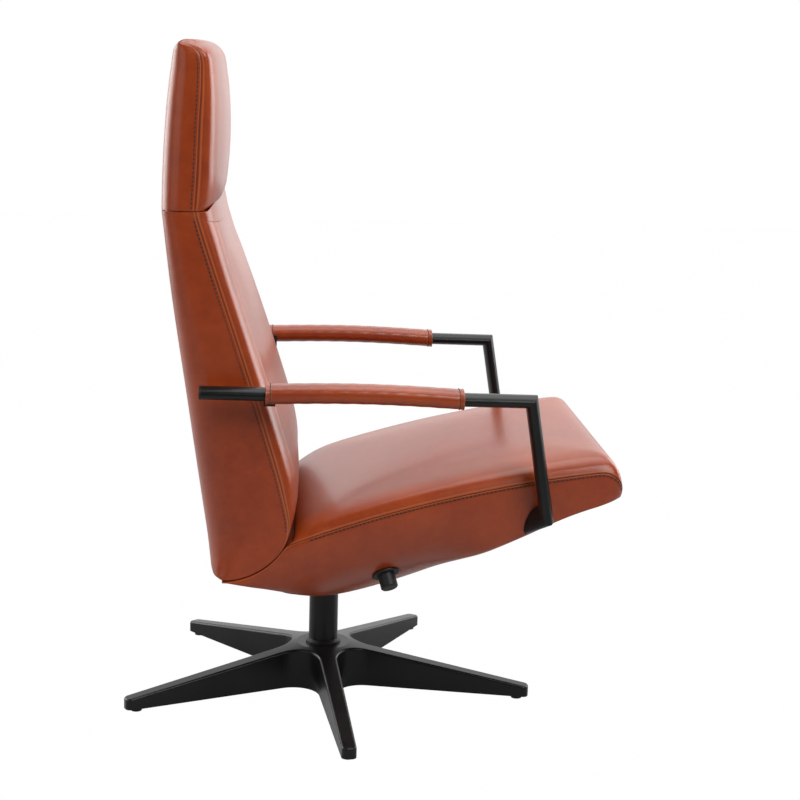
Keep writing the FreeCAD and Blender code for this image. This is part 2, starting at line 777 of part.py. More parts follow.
def keel_points(inset):
    """The belly's side below the seam: its top, the knee and the keel's edge, with the fullest places between."""
    top = Vector(size("seat_half_width - seat_side_tuck") - inset, -size("seat_side_fall"), 0)
    knee = Vector(size("knee_half_width") - inset, -size("knee_depth"), 0)
    foot = Vector(size("keel_half_width") - inset, -size("keel_depth"), 0)
    return [top, bulge(top, knee, size("knee_swell")), knee, bulge(knee, foot, size("keel_swell")), foot]


def seat_round(inset, top_edges):
    """A section, given by its upper edges and closed by the belly, turned about the seam's centre."""
    right = [on_section(point.x, point.y) for point in keel_points(inset)]
    left = [on_section(-point.x, point.y) for point in keel_points(inset)]
    half = size("seat_half_width") - inset
    edges = top_edges + [arc(on_section(half, 0), on_section(half, -size("seat_side_fall / 2")), right[0]),
                         arc(*right[:3]), arc(*right[2:]), line(right[4], left[4]), arc(*left[2:]), arc(*left[:3]),
                         arc(left[0], on_section(-half, -size("seat_side_fall / 2")), on_section(-half, 0))]
    face = Part.Face(Part.Wire(Part.sortEdges(edges)[0]))
    start = seam_turn(size("hinge_y") + size("seat_edge"))
    end = seam_turn(size("nose_y") - size("seat_edge"))
    face.rotate(seam_centre, x_axis, start)
    return face.revolve(seam_centre, x_axis, end - start)


def crown_edges():
    half, edge, rise = size("seat_half_width"), size("seat_edge"), size("seat_edge_rise")
    x, up = half - size("edge_in_share") * edge, size("edge_up_share") * rise
    return [arc(on_section(half - edge, rise), on_section(x, up), on_section(half, 0)),
            arc(on_section(edge - half, rise), on_section(0, size("seat_crown")), on_section(half - edge, rise)),
            arc(on_section(-half, 0), on_section(-x, up), on_section(edge - half, rise))]


def seat_side_outline():
    cradle = size("back_arc_radius + cradle_gap")
    top = size("seam_front_z + 2 * seat_crown")
    brow = polar(hinge, cradle, 0)
    tail = side(size("belly_tail_y"), size("belly_tail_z"))
    lip = hinge + (tail - hinge).normalize() * cradle
    cradle_middle = hinge + (brow + lip - hinge * 2).normalize() * cradle
    turn = side(size("belly_turn_y"), size("belly_turn_z"))
    front = side(size("belly_front_y"), size("belly_front_z"))
    nose = side(size("nose_y"), size("nose_z"))
    nose_top = side(size("nose_top_y"), size("seam_front_z + seat_crown"))
    tail_end = (tail + lip) / 2 + Vector(0, size("tail_swell"), 0)
    chin = (front + nose) / 2 + Vector(0, -size("chin_swell"), -size("chin_swell"))
    bridge = (nose + nose_top) / 2 + Vector(0, -size("bridge_swell"), size("bridge_swell"))
    return [arc(brow, cradle_middle, lip), arc(lip, tail_end, tail),
            arc(tail, side(size("belly_low_y"), size("belly_low_z")), turn), line(turn, front),
            arc(front, chin, nose), arc(nose, bridge, nose_top),
            line(nose_top, side(nose_top.y, top)), line(side(nose_top.y, top), side(brow.y, top)),
            line(side(brow.y, top), brow)]


def seat_hollow_outline():
    floor = size("chassis_floor")
    turn = side(size("belly_turn_y"), size("belly_turn_z"))
    front = side(size("belly_front_y"), size("belly_front_z"))
    slope = (front.z - turn.z) / (front.y - turn.y)
    lift = size("shell_wall")
    bend = turn.y + (floor - turn.z - lift) / slope
    end_y = front.y + lift
    end_z = turn.z + lift + slope * (end_y - turn.y)
    wall = size("back_arc_radius + cradle_gap + shell_wall")
    low, high = polar(hinge, wall, size("hollow_low_angle")), polar(hinge, wall, size("hollow_high_angle"))
    top = size("seam_front_z + 2 * seat_crown")
    points = [side(low.y, floor), side(bend, floor), side(end_y, end_z), side(end_y, top),
              side(high.y, top), high, low]
    return [line(point, points[(number + 1) % len(points)]) for number, point in enumerate(points)]


def plan_room():
    """Upright room of the seat in plan, with round nose corners."""
    half, corner = size("seat_half_width + plan_spare"), size("nose_corner")
    front, rear = size("nose_y - plan_spare"), size("hinge_y")
    box = Part.makeBox(2 * half, rear - front, 2 * size("seam_front_z"), Vector(-half, front, 0))
    edges = [edge for edge in box.Edges
             if edge.BoundBox.ZLength > corner and edge.BoundBox.YMax < size("nose_y")]
    return box.makeFillet(corner, edges)


def knob_place():
    """Where the knob's axis leaves the belly on the side of -X, and its outward direction."""
    ring = arc(*keel_points(0)[:3]).Curve
    rise = -size("knob_depth")
    x = ring.Center.x + math.sqrt(ring.Radius ** 2 - (rise - ring.Center.y) ** 2)
    normal = (Vector(x, rise, 0) - ring.Center).normalize()
    turn = math.radians(-seam_turn(size("knob_seam_y")))
    up = Vector(0, math.sin(turn), math.cos(turn))
    at = seam_centre + up * (seam_radius + rise) + Vector(-x, 0, 0)
    return at, Vector(-normal.x, 0, 0) + up * normal.y


def make_seat():
    half = size("seat_half_width + seat_edge")
    hull = seat_round(0, crown_edges()).common(across(seat_side_outline(), half)).common(plan_room())
    drum = Part.makeCylinder(seam_radius, 2 * half, seam_centre - Vector(half, 0, 0), x_axis)
    inner_drum = Part.makeCylinder(seam_radius - soft_gap, 2 * half, seam_centre - Vector(half, 0, 0), x_axis)
    pad = shaped("seat_cushion", hull.cut(drum))
    wall = size("shell_wall")
    inner_half = size("seat_half_width") - wall
    lid = [line(on_section(-inner_half, 0), on_section(inner_half, 0))]
    hollow = seat_round(wall, lid).common(across(seat_hollow_outline(), half))
    spare = size("soft_gap")
    tools = [hollow, Part.makeCylinder(size("flange_radius") + spare, 2 * wall,
                                       Vector(0, 0, size("chassis_floor") - 2 * wall)), arm_tube(spare)]
    tools.append(arm_tube(spare).mirror(Vector(0, 0, 0), x_axis))
    plate = size("sheet_metal / 2") + spare
    for way in (1, -1):
        tools.append(bar_about(hinge, size("ear_angle"), size("ear_half_width") + spare, size("ear_length"),
                               way * hinge_x - plate, way * hinge_x + plate))
    rod_room = size("gas_rod_radius + gas_open_gap")
    rest = math.degrees(math.atan2(lever_end.z - gas_front.z, lever_end.y - gas_front.y))
    slot = bar_about(lever_end, rest, rod_room, size("hinge_y") - size("gas_front_y"), -rod_room, rod_room)
    raised = slot.copy()
    raised.rotate(lever_end, x_axis, size("gas_slot_turn"))
    raised.translate(Vector(0, 0, rod_room))
    tools += [slot, raised]
    at, out = knob_place()
    bore = size("knob_radius + soft_gap + rosette_sleeve + soft_gap")
    tools.append(Part.makeCylinder(size("rosette_radius") + spare, wall, at - out * size("rosette_recess"), out))
    tools.append(Part.makeCylinder(bore, wall, at - out * size("rosette_depth"), out))
    tools.append(Part.makeCylinder(size("cable_radius") + spare, 2 * wall, at - out * 2 * wall, out))
    shell = hull.common(inner_drum)
    for tool in tools:
        shell = shell.cut(tool)
    return [pad, shaped("seat_shell", shell)]


def make_webbing():
    """Elastic straps across the open top of the shell, spread evenly along the seam."""
    count = int(size("webbing_count"))
    half = size("seat_half_width - shell_wall - soft_gap")
    first, last = size("seam_rear_y - seat_edge"), size("belly_front_y + shell_wall + seat_edge")
    straps = []
    for number in range(count):
        y = first + (last - first) * number / (count - 1)
        turn = seam_turn(y)
        strap = Part.makeBox(2 * half, size("webbing_width"), size("webbing_thickness"),
                             Vector(-half, -size("webbing_width / 2"), -size("webbing_thickness")))
        strap.rotate(Vector(0, 0, 0), x_axis, turn)
        up = Vector(0, -math.sin(math.radians(turn)), math.cos(math.radians(turn)))
        strap.translate(seam_centre + up * (seam_radius - size("webbing_drop")))
        straps.append(shaped("strap_%d" % (number + 1), strap))
    return group("seat_webbing", straps)


# Release knob, its rosette and the cable to the gas spring
def make_knob():
    at, out = knob_place()
    bore = "knob_radius + soft_gap"
    rim = "rosette_rim - rosette_recess"
    rosette = turned("knob_rosette", [("knob_stem_radius + fit_gap", "-rosette_depth"),
                                      (bore + " + rosette_sleeve", "-rosette_depth"),
                                      (bore + " + rosette_sleeve", "-rosette_recess"),
                                      ("rosette_radius", "-rosette_recess"),
                                      ("rosette_radius", rim + " - rosette_rim / 3"),
                                      ("rosette_radius - rosette_rim / 2", rim),
                                      (bore, rim), (bore, "rosette_floor - rosette_depth"),
                                      ("knob_stem_radius + fit_gap", "rosette_floor - rosette_depth")])
    low = "rosette_floor - rosette_depth + knob_travel + soft_gap"
    knob = turned("release_knob", [("0", "-rosette_depth + soft_gap"),
                                   ("knob_stem_radius", "-rosette_depth + soft_gap"),
                                   ("knob_stem_radius", low), ("knob_radius", low),
                                   ("knob_radius", low + " + knob_length - knob_chamfer"),
                                   ("knob_radius - knob_chamfer", low + " + knob_length"),
                                   ("0", low + " + knob_length")])
    for piece in (rosette, knob):
        piece.Placement = Placement(at, Rotation(z_axis, out))
    return [rosette, knob, make_cable(at - out * size("rosette_depth"), -out)]


def make_cable(start, way):
    """Cable housing from the rosette to the gas spring bracket, straight runs joined by arcs."""
    end = Vector(-size("gas_eye_width / 2 + bracket_gap + gas_cheek"), size("gas_front_y"),
                 size("gas_front_z - 3 * gas_eye_radius"))
    over = end + Vector(-size("plate_half_width / 2"), -size("gas_radius"), size("rail_height"))
    points = [start, start + way * size("plate_front + cable_radius"), over, end - x_axis * size("rail_height"), end]
    edges = []
    last = points[0]
    for before, corner, after in zip(points, points[1:], points[2:]):
        inward, outward = corner - before, after - corner
        reach = size("cable_bend_share") * min(inward.Length, outward.Length)
        first = corner - inward.normalize() * reach
        second = corner + outward.normalize() * reach
        half_turn = inward.getAngle(outward) / 2
        middle_way = (outward - inward).normalize()
        radius = reach / math.tan(half_turn)
        middle = corner + middle_way * (radius / math.cos(half_turn) - radius)
        edges += [line(last, first), arc(first, middle, second)]
        last = second
    edges.append(line(last, points[-1]))
    ring = Part.Wire([Part.Circle(start, way, size("cable_radius")).toShape()])
    tube = Part.Wire(edges).makePipeShell([ring], True, False)
    bore = Part.makeCylinder(size("knob_stem_radius + fit_gap"), size("cable_bore_depth"), start, way)
    return shaped("release_cable", tube.cut(bore))


# Frame of the back with its hinge brackets and lever, and the frame of the head section
def make_back_frame():
    top = "(neck_z - hinge_z) / cos(panel_lean * 1 deg) - head_hinge_reach"
    base = ("0", "hinge_y", "hinge_z")
    panel = padded("back_panel", "XZ", [("-panel_half_width", "panel_start"), ("panel_half_width", "panel_start"),
                                        ("panel_half_width - panel_margin", top),
                                        ("panel_margin - panel_half_width", top)], "panel_thickness")
    place(panel, base, x_axis, "-panel_lean")
    windows = []
    for row in range(2):
        for way in (1, -1):
            low = "panel_start + panel_margin + %d * window_pitch" % row
            near, far = "%d * panel_margin / 2" % way, "%d * (panel_margin / 2 + 2 * window_half_width)" % way
            window = padded("window_%d_%d" % (row, way + 1), "XZ",
                            [(near, low), (far, low), (far, low + " + window_height"),
                             (near, low + " + window_height")], "2 * panel_thickness")
            windows.append(place(window, base, x_axis, "-panel_lean"))
    sheet_panel = cut("back_panel_cut", panel, join("back_windows", windows))
    doc.recompute()
    start = hinge + panel_up * size("panel_start + panel_thickness")
    pieces = [sheet_panel]
    metal, gap = size("sheet_metal"), size("bracket_gap")
    for way in (1, -1):
        for near in (way * hinge_x + metal / 2 + gap, way * hinge_x - 3 * metal / 2 - gap):
            plate = link_plate(start, hinge, size("ear_half_width"), near, near + metal)
            pieces.append(shaped("hinge_bracket", plate))
    cheek, eye = size("gas_cheek"), size("gas_eye_width / 2 + bracket_gap")
    for near in (eye, -eye - cheek):
        upper = link_plate(start, hinge, size("lever_half_width"), near, near + cheek)
        lower = link_plate(hinge, lever_end, size("lever_half_width"), near, near + cheek)
        pieces.append(shaped("gas_lever", upper.fuse(lower).removeSplitter()))
    neck_foot = neck - panel_up * size("head_hinge_reach + panel_thickness")
    lug = size("panel_thickness / 2")
    for way in (1, -1):
        for near in (way * head_hinge_x + lug + gap, way * head_hinge_x - 3 * lug - gap):
            pieces.append(shaped("neck_lug", link_plate(neck_foot, neck, size("head_boss_radius"),
                                                        near, near + 2 * lug)))
    bores = [rod("bracket_bore_row", "hinge_pin_radius + running_gap", "4 * hinge_x", base),
             rod("lever_bore", "gas_pin_radius + running_gap", "4 * gas_eye_width",
                 ("0", "hinge_y", "hinge_z - lever_length"))]
    neck_bore = Part.makeCylinder(size("head_pin_radius + running_gap"), 4 * head_hinge_x,
                                  neck - x_axis * 2 * head_hinge_x, x_axis)
    bores.append(shaped("neck_bore", neck_bore))
    return cut("back_frame", join("back_frame_blank", pieces), join("back_frame_bores", bores))


def make_hinge_pins():
    length = "3 * sheet_metal + 4 * bracket_gap"
    pins = [rod("hinge_pin_%d" % (number + 1), "hinge_pin_radius", length,
                ("%d * hinge_x" % way, "hinge_y", "hinge_z")) for number, way in enumerate((1, -1))]
    lever_pin = rod("lever_pin", "gas_pin_radius", "gas_eye_width + 4 * bracket_gap + 2 * gas_cheek",
                    ("0", "hinge_y", "hinge_z - lever_length"))
    head_length = size("3 * panel_thickness + 4 * bracket_gap")
    head_pins = [shaped("head_pin_%d" % (number + 1),
                        Part.makeCylinder(size("head_pin_radius"), head_length,
                                          neck + x_axis * (way * head_hinge_x - head_length / 2), x_axis))
                 for number, way in enumerate((1, -1))]
    return [group("hinge_pins", pins), lever_pin, group("head_hinge_pins", head_pins)]


def head_up():
    lean = math.radians(size("head_lean"))
    return Vector(0, -math.sin(lean), math.cos(lean))


def make_head_frame():
    panel = padded("head_panel", "XZ", [("-head_panel_half_width", "head_hinge_reach"),
                                        ("head_panel_half_width", "head_hinge_reach"),
                                        ("head_panel_half_width", "(head_top_z - head_panel_drop) - neck_z"),
                                        ("-head_panel_half_width", "(head_top_z - head_panel_drop) - neck_z")],
                   "head_panel_thickness")
    panel.Placement = Placement(neck, Rotation(x_axis, size("head_lean")))
    doc.recompute()
    pieces = [panel]
    foot = neck + head_up() * size("head_hinge_reach + panel_thickness")
    lug = size("panel_thickness / 2")
    for way in (1, -1):
        pieces.append(shaped("head_lug", link_plate(neck, foot, size("head_boss_radius"),
                                                    way * head_hinge_x - lug, way * head_hinge_x + lug)))
    bore = Part.makeCylinder(size("head_pin_radius + running_gap"), 4 * head_hinge_x,
                             neck - x_axis * 2 * head_hinge_x, x_axis)
    return cut("head_frame", join("head_frame_blank", pieces), shaped("head_bore", bore))


# Back and head upholstery: a side outline trimmed by two tapering sections,
# crowned and rounded at the front and rounded at the rear
def front_ring(at, up, half, crown):
    """A section across the chair, with a crowned front edge and a far flat rear."""
    forward = Vector(0, -up.z, up.y)
    edge, rise = size("back_edge"), size("back_edge_rise")
    far = -2 * size("back_arc_radius")
    turn_x, turn_out = half - size("edge_in_share") * edge, size("edge_up_share") * rise

    def point(x, out):
        return at + Vector(x, 0, 0) + forward * out
    edges = [line(point(-half, far), point(half, far)), line(point(half, far), point(half, 0)),
             arc(point(half, 0), point(turn_x, turn_out), point(half - edge, rise)),
             arc(point(half - edge, rise), point(0, crown), point(edge - half, rise)),
             arc(point(edge - half, rise), point(-turn_x, turn_out), point(-half, 0)),
             line(point(-half, 0), point(-half, far))]
    return Part.Wire(edges)


def rear_ring(at, up, half):
    """A section across the chair, with round rear corners and a far flat front."""
    forward = Vector(0, -up.z, up.y)
    edge = size("rear_edge")
    far = 3 * size("back_arc_radius")
    nook = edge * (1 - math.sqrt(0.5))

    def point(x, out):
        return at + Vector(x, 0, 0) + forward * out
    edges = [line(point(half, edge), point(half, far)), line(point(half, far), point(-half, far)),
             line(point(-half, far), point(-half, edge)),
             arc(point(-half, edge), point(nook - half, nook), point(edge - half, 0)),
             line(point(edge - half, 0), point(half - edge, 0)),
             arc(point(half - edge, 0), point(half - nook, nook), point(half, edge))]
    return Part.Wire(edges)


def tapered(ring_at, low, high):
    """A straight loft between the sections at two heights."""
    return Part.makeLoft([ring_at(low), ring_at(high)], True, True)


def back_half(z):
    """Half width of the upholstery at a height, narrowing evenly from the hinge to the neck."""
    share = (z - hinge.z) / (neck.z - hinge.z)
    return size("back_half_width") + share * size("neck_half_width - back_half_width")


def head_half(z):
    share = (z - neck.z) / (size("head_top_z") - neck.z)
    return size("neck_half_width") + share * size("head_half_width - neck_half_width")


def local_room(origin, turn, half, thickness, low, high):
    """Room for a flat panel that leans about an axis across the chair."""
    box = Part.makeBox(2 * half, thickness, high - low, Vector(-half, -thickness / 2, low))
    box.rotate(Vector(0, 0, 0), x_axis, turn)
    box.translate(origin)
    return box


def neck_bays(up):
    """Room round the head hinges on one side of the neck."""
    reach = size("head_hinge_reach + panel_thickness + head_boss_radius")
    spare = size("bracket_gap")
    half = size("3 * panel_thickness / 2 + 2 * bracket_gap") + spare
    return [link_plate(neck, neck + up * reach, size("head_boss_radius") + spare,
                       way * head_hinge_x - half, way * head_hinge_x + half) for way in (1, -1)]


def make_back():
    radius = size("back_arc_radius")
    gap = size("neck_gap") / 2
    notch = math.tan(math.radians(size("neck_notch")))
    rear_top = side(size("neck_rear_y"), neck.z - gap)
    rear_low = side(size("rear_low_y"), size("rear_low_z"))
    bottom = polar(hinge, radius, 90)
    run = bottom - rear_low
    swell = Vector(0, -run.z, run.y).normalize() * size("rear_corner_swell")
    front_angle = size("back_front_angle")
    front_low = polar(hinge, radius, front_angle)
    brow = side(front_low.y, hinge.z + size("lever_length"))
    far = side(brow.y - size("back_edge"), brow.z + size("back_crown"))
    deep = neck.y - far.y
    lip = side(far.y + deep / 3, neck.z - gap - deep * 2 / 3 * notch)
    edges = [line(rear_top, rear_low), arc(rear_low, (rear_low + bottom) / 2 + swell, bottom),
             arc(bottom, polar(hinge, radius, (90 + front_angle) / 2), front_low), line(front_low, brow), line(brow, far),
             line(far, lip), line(lip, side(neck.y, neck.z - gap)),
             line(side(neck.y, neck.z - gap), rear_top)]
    body = across(edges, size("seat_half_width"))
    slope = math.radians(size("back_front_slope"))
    front_up = Vector(0, math.sin(slope), math.cos(slope))
    front_at = side(size("back_front_y"), size("back_front_z"))
    rear_up = (rear_top - rear_low).normalize()

    def front(z):
        return front_ring(front_at + front_up * ((z - front_at.z) / front_up.z), front_up, back_half(z),
                          size("back_crown"))

    def rear(z):
        return rear_ring(rear_low + rear_up * ((z - rear_low.z) / rear_up.z), rear_up, back_half(z))
    low, high = hinge.z - 2 * radius, neck.z + radius
    body = body.common(tapered(front, low, high)).common(tapered(rear, low, high))
    spare = size("soft_gap")
    reach = (neck - hinge).Length
    lean = -size("panel_lean")
    metal = size("3 * sheet_metal / 2 + 3 * bracket_gap")
    ear = size("ear_half_width + bracket_gap")
    start = size("panel_start")
    tools = [local_room(hinge, lean, size("panel_half_width") + spare, size("panel_thickness") + 2 * spare,
                        start - spare, reach - size("head_hinge_reach") + spare)]
    up_end = hinge + panel_up * size("panel_start + panel_thickness")
    for way in (1, -1):
        low_x, high_x = way * hinge_x - metal, way * hinge_x + metal
        swing = swept_bar(hinge, size("ear_angle"), size("ear_angle + recline"), ear, radius + ear, low_x, high_x)
        tools += [swing, link_plate(hinge, up_end, ear, low_x, high_x)]
    lever = size("gas_eye_width / 2 + 3 * bracket_gap + gas_cheek")
    lever_room = size("lever_half_width + bracket_gap")
    rest = math.degrees(math.atan2(lever_end.z - gas_front.z, lever_end.y - gas_front.y))
    tools += [link_plate(hinge, up_end, lever_room, -lever, lever),
              link_plate(hinge, lever_end, lever_room, -lever, lever),
              swept_bar(lever_end, rest, rest + size("recline"), size("gas_eye_radius + bracket_gap"),
                        radius, -lever, lever)]
    tools += neck_bays(panel_up * -1)
    for tool in tools:
        body = body.cut(tool)
    return shaped("back_cushion", body)


def make_head():
    gap = size("neck_gap") / 2
    notch = math.tan(math.radians(size("neck_notch")))
    low_front = side(size("head_low_front_y"), neck.z + gap + (neck.y - size("head_low_front_y")) * notch)
    front = side(size("head_front_y"), size("(head_top_z - head_front_drop)"))
    high_front = side(size("head_high_front_y"), size("(head_top_z - head_high_front_drop)"))
    top = side(size("head_top_y"), size("head_top_z"))
    high_rear = side(size("head_high_rear_y"), size("(head_top_z - head_high_rear_drop)"))
    rear = side(size("head_rear_y"), size("(head_top_z - head_rear_drop)"))
    rear_low = side(size("neck_rear_y"), neck.z + gap)
    chin = side(neck.y, neck.z + gap)

    def shoulder(first, second):
        middle = (first + second) / 2
        run = second - first
        return middle + Vector(0, -run.z, run.y).normalize() * (size("head_shoulder_share") * run.Length)
    edges = [line(chin, low_front), arc(low_front, front, high_front),
             arc(high_front, shoulder(high_front, top), top), arc(top, shoulder(top, high_rear), high_rear),
             arc(high_rear, rear, rear_low), line(rear_low, chin)]
    body = across(edges, size("seat_half_width"))
    up = head_up()
    seam_at = side(size("head_seam_y"), size("(head_top_z - head_front_drop)"))

    def front_section(z):
        return front_ring(seam_at + up * ((z - seam_at.z) / up.z), up, head_half(z),
                          size("head_seam_y - head_front_y + head_front_spare"))
    rear_up = (high_rear - rear_low).normalize()

    def rear_section(z):
        return rear_ring(rear_low + rear_up * ((z - rear_low.z) / rear_up.z) + y_axis * size("rear_edge / 2"),
                         rear_up, head_half(z))
    low, high = neck.z - size("head_corner"), top.z + size("head_corner")
    body = body.common(tapered(front_section, low, high)).common(tapered(rear_section, low, high))
    half, corner = size("neck_half_width + neck_gap"), size("head_corner")
    frame = Part.makeBox(2 * half, 2 * size("neck_rear_y"), top.z + 2 * gap - low, Vector(-half, 0, low))
    upper = [edge for edge in frame.Edges if edge.BoundBox.YLength > corner and edge.BoundBox.ZMin > neck.z]
    body = body.common(frame.makeFillet(corner, upper))
    spare = size("soft_gap")
    tools = [local_room(neck, size("head_lean"), size("head_panel_half_width") + spare,
                        size("head_panel_thickness") + 2 * spare, size("head_hinge_reach") - spare,
                        size("(head_top_z - head_panel_drop) - neck_z") + spare)] + neck_bays(up)
    for tool in tools:
        body = body.cut(tool)
    return shaped("head_cushion", body)


parts = [make_star_base(), make_floor_glides()] + make_column() + make_chassis() + make_gas_spring()
parts += [make_seat_frame()] + make_arms() + make_sleeves() + make_seat() + [make_webbing()] + make_knob()
parts += [make_back_frame()] + make_hinge_pins() + [make_head_frame(), make_back(), make_head()]
doc.recompute()

for piece in doc.Objects:
    if any(word in piece.State for word in ("Invalid", "Error")):
        raise RuntimeError("%s did not build" % piece.Label)
for piece in parts:
    if piece.Shape.isNull() or not piece.Shape.isValid():
        raise RuntimeError("%s has no sound shape" % piece.Label)

os.makedirs("parts", exist_ok=True)
for piece in parts:
    piece.Shape.exportStep("parts/%s.step" % piece.Label)
    print(piece.Label, len(piece.Shape.Solids), round(piece.Shape.Volume))
print("knob", *knob_place())
print("neck", neck)
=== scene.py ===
import json
import math

import bmesh
import bpy
import numpy as np
from mathutils import Matrix, Vector


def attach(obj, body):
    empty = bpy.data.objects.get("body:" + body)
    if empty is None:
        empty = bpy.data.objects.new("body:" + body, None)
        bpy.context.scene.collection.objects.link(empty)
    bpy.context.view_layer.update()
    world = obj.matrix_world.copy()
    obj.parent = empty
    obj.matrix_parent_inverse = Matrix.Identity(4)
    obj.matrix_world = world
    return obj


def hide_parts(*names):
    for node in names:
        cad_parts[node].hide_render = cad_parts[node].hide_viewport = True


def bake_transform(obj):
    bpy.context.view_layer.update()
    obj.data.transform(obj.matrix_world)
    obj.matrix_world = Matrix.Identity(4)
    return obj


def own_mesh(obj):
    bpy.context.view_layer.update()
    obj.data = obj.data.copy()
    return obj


# Looks of the swivel recliner: leather upholstery, sewn seams, arm sleeves and finishes.
# Metres, +Z up, the sitter faces -Y, the floor is at zero.

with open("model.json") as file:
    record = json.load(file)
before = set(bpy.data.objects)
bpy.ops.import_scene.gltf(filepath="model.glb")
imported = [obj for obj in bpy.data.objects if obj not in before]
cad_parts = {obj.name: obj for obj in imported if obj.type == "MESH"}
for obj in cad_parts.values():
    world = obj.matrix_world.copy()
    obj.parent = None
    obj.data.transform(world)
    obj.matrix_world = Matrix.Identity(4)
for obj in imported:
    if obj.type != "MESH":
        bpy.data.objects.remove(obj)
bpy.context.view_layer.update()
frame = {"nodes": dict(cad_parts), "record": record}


# sets a node's sockets by name or number: a Wire is linked, anything else is the socket's own value
def feed(node, sockets):
    for key, value in sockets.items():
        if isinstance(value, Wire):
            value.tree.links.new(value.socket, node.inputs[key])
        else:
            node.inputs[key].default_value = value


# one output socket of a node tree, so that shader sums read as plain Python
class Wire:
    def __init__(self, tree, socket):
        self.tree = tree
        self.socket = socket

    # any node: its type, its settings first, then its sockets
    def node(self, kind, settings=None, sockets=None, out=0):
        made = self.tree.nodes.new("ShaderNode" + kind)
        for key, value in (settings or {}).items():
            setattr(made, key, value)
        feed(made, sockets or {})
        return Wire(self.tree, made.outputs[out])

    def sum(self, operation, first, second):
        return self.node("Math", {"operation": operation}, {0: first, 1: second})

    def __add__(self, other):
        return self.sum("ADD", self, other)

    def __radd__(self, other):
        return self.sum("ADD", other, self)

    def __sub__(self, other):
        return self.sum("SUBTRACT", self, other)

    def __rsub__(self, other):
        return self.sum("SUBTRACT", other, self)

    def __mul__(self, other):
        return self.sum("MULTIPLY", self, other)

    def __rmul__(self, other):
        return self.sum("MULTIPLY", other, self)

    # part of the range low to high, cut off at both ends
    def share(self, low, high):
        return self.node("MapRange", {"clamp": True}, {"Value": self, "From Min": low, "From Max": high})

    # one of two colours, or a colour between them
    def tint(self, first, second):
        return self.node("Mix", {"data_type": "RGBA", "clamp_factor": True},
                         {"Factor": self, "A": first, "B": second}, out=2)

    # value from low to high at this share
    def between(self, low, high):
        return low + self * (high - low)

    # noise at this place
    def noise(self, scale, detail, rough=0.55):
        return self.node("TexNoise", {}, {"Vector": self, "Scale": scale, "Detail": detail,
                                          "Roughness": rough})

    # this height as a Bump node of a strength and a depth
    def raised(self, strength, depth):
        return self.node("Bump", {}, {"Strength": strength, "Distance": depth, "Height": self})


# new material with a Principled surface; returns the material, the shader and a Wire to start from
def newFinish(name):
    finish = bpy.data.materials.new(name)
    finish.use_nodes = True
    tree = finish.node_tree
    shader = next(node for node in tree.nodes if node.type == "BSDF_PRINCIPLED")
    place = tree.nodes.new("ShaderNodeTexCoord").outputs["Object"]
    return finish, shader, Wire(tree, place)


leatherLook = {
    "deep": (0.190, 0.0205, 0.0022, 1.0),
    "body": (0.312, 0.0440, 0.0046, 1.0),
    # pale of wear and of a painted sheen
    "wearAndSheen": (0.370, 0.0680, 0.0110, 1.0),
    "pore": (0.095, 0.014, 0.004, 1.0),
    "lip": (0.460, 0.1500, 0.0580, 1.0),   # painted highlight: paler rim beside a seam
    "cloud": (5.5, 4.0, 0.6),   # scale, detail and roughness of each noise
    "mottle": (46.0, 5.0, 0.65),
    "crease": (150.0, 6.0, 0.7),
    "grainScale": 620.0,
    "cloudShare": 0.65, "toneRange": (0.28, 0.66), "wearAndSheenShare": 0.8, "poreWidth": 0.16, "poreShare": 0.35,
    "lipHighlightRise": (0.10, 0.40),   # the rim's painted highlight comes and goes between these values of seamNear
    "lipHighlightFall": (0.55, 0.90),
    # next: strength of the rim's painted highlight, then where and how strongly the seam's painted shade
    # darkens
    "lipHighlightShare": 0.38, "seamShadeRange": (0.70, 1.0), "seamShadeShare": 0.7,
    "rough": (0.22, 0.38), "poreRough": 0.25, "pebbleWidth": 0.22,
    "rise": (0.35, 0.9, 1.4),   # of pebbles, creases and mottling
    "bump": (0.16, 0.0011), "gloss": 0.26, "coat": 0.25, "coatRough": 0.17,
}


# aniline leather: clouds and mottling shift the colour, pebbled grain and fine creases raise the surface,
# and along a seam there is a painted shade line with a painted highlight on its rim
def makeLeather(look):
    finish, shader, place = newFinish("cognacLeather")
    cloud, mottle, crease = (place.noise(*look[key]) for key in ("cloud", "mottle", "crease"))
    grain = place.node("TexVoronoi", {"feature": "DISTANCE_TO_EDGE"},
                       {"Vector": place, "Scale": look["grainScale"], "Randomness": 1.0})
    seam, worn = (place.node("Attribute", {"attribute_name": key}, out=2) for key in ("seamNear", "wearAndSheen"))
    tone = (cloud * look["cloudShare"] + mottle * (1.0 - look["cloudShare"])).share(*look["toneRange"])
    pores = (1.0 - grain.share(0.0, look["poreWidth"])) * look["poreShare"]
    # painted highlight on the rim beside a seam
    lip = seam.share(*look["lipHighlightRise"]) * (1.0 - seam.share(*look["lipHighlightFall"]))
    colour = tone.tint(look["deep"], look["body"])
    # paler where a piece marks wear and a painted sheen
    colour = (worn * tone * look["wearAndSheenShare"]).tint(colour, look["wearAndSheen"])
    colour = pores.tint(colour, look["pore"])
    colour = (lip * look["lipHighlightShare"]).tint(colour, look["lip"])
    # painted shade along the seam's groove, in the pore colour
    colour = (seam.share(*look["seamShadeRange"]) * look["seamShadeShare"]).tint(colour, look["pore"])
    rough = (mottle * 0.5 + crease * 0.5).between(*look["rough"]) + pores * look["poreRough"]
    pebbleRise, creaseRise, mottleRise = look["rise"]
    height = grain.share(0.0, look["pebbleWidth"]) * pebbleRise + crease * creaseRise + mottle * mottleRise
    feed(shader, {"Base Color": colour, "Roughness": rough, "Normal": height.raised(*look["bump"]),
                  "Specular IOR Level": look["gloss"], "Coat Weight": look["coat"],
                  "Coat Roughness": look["coatRough"]})
    return finish


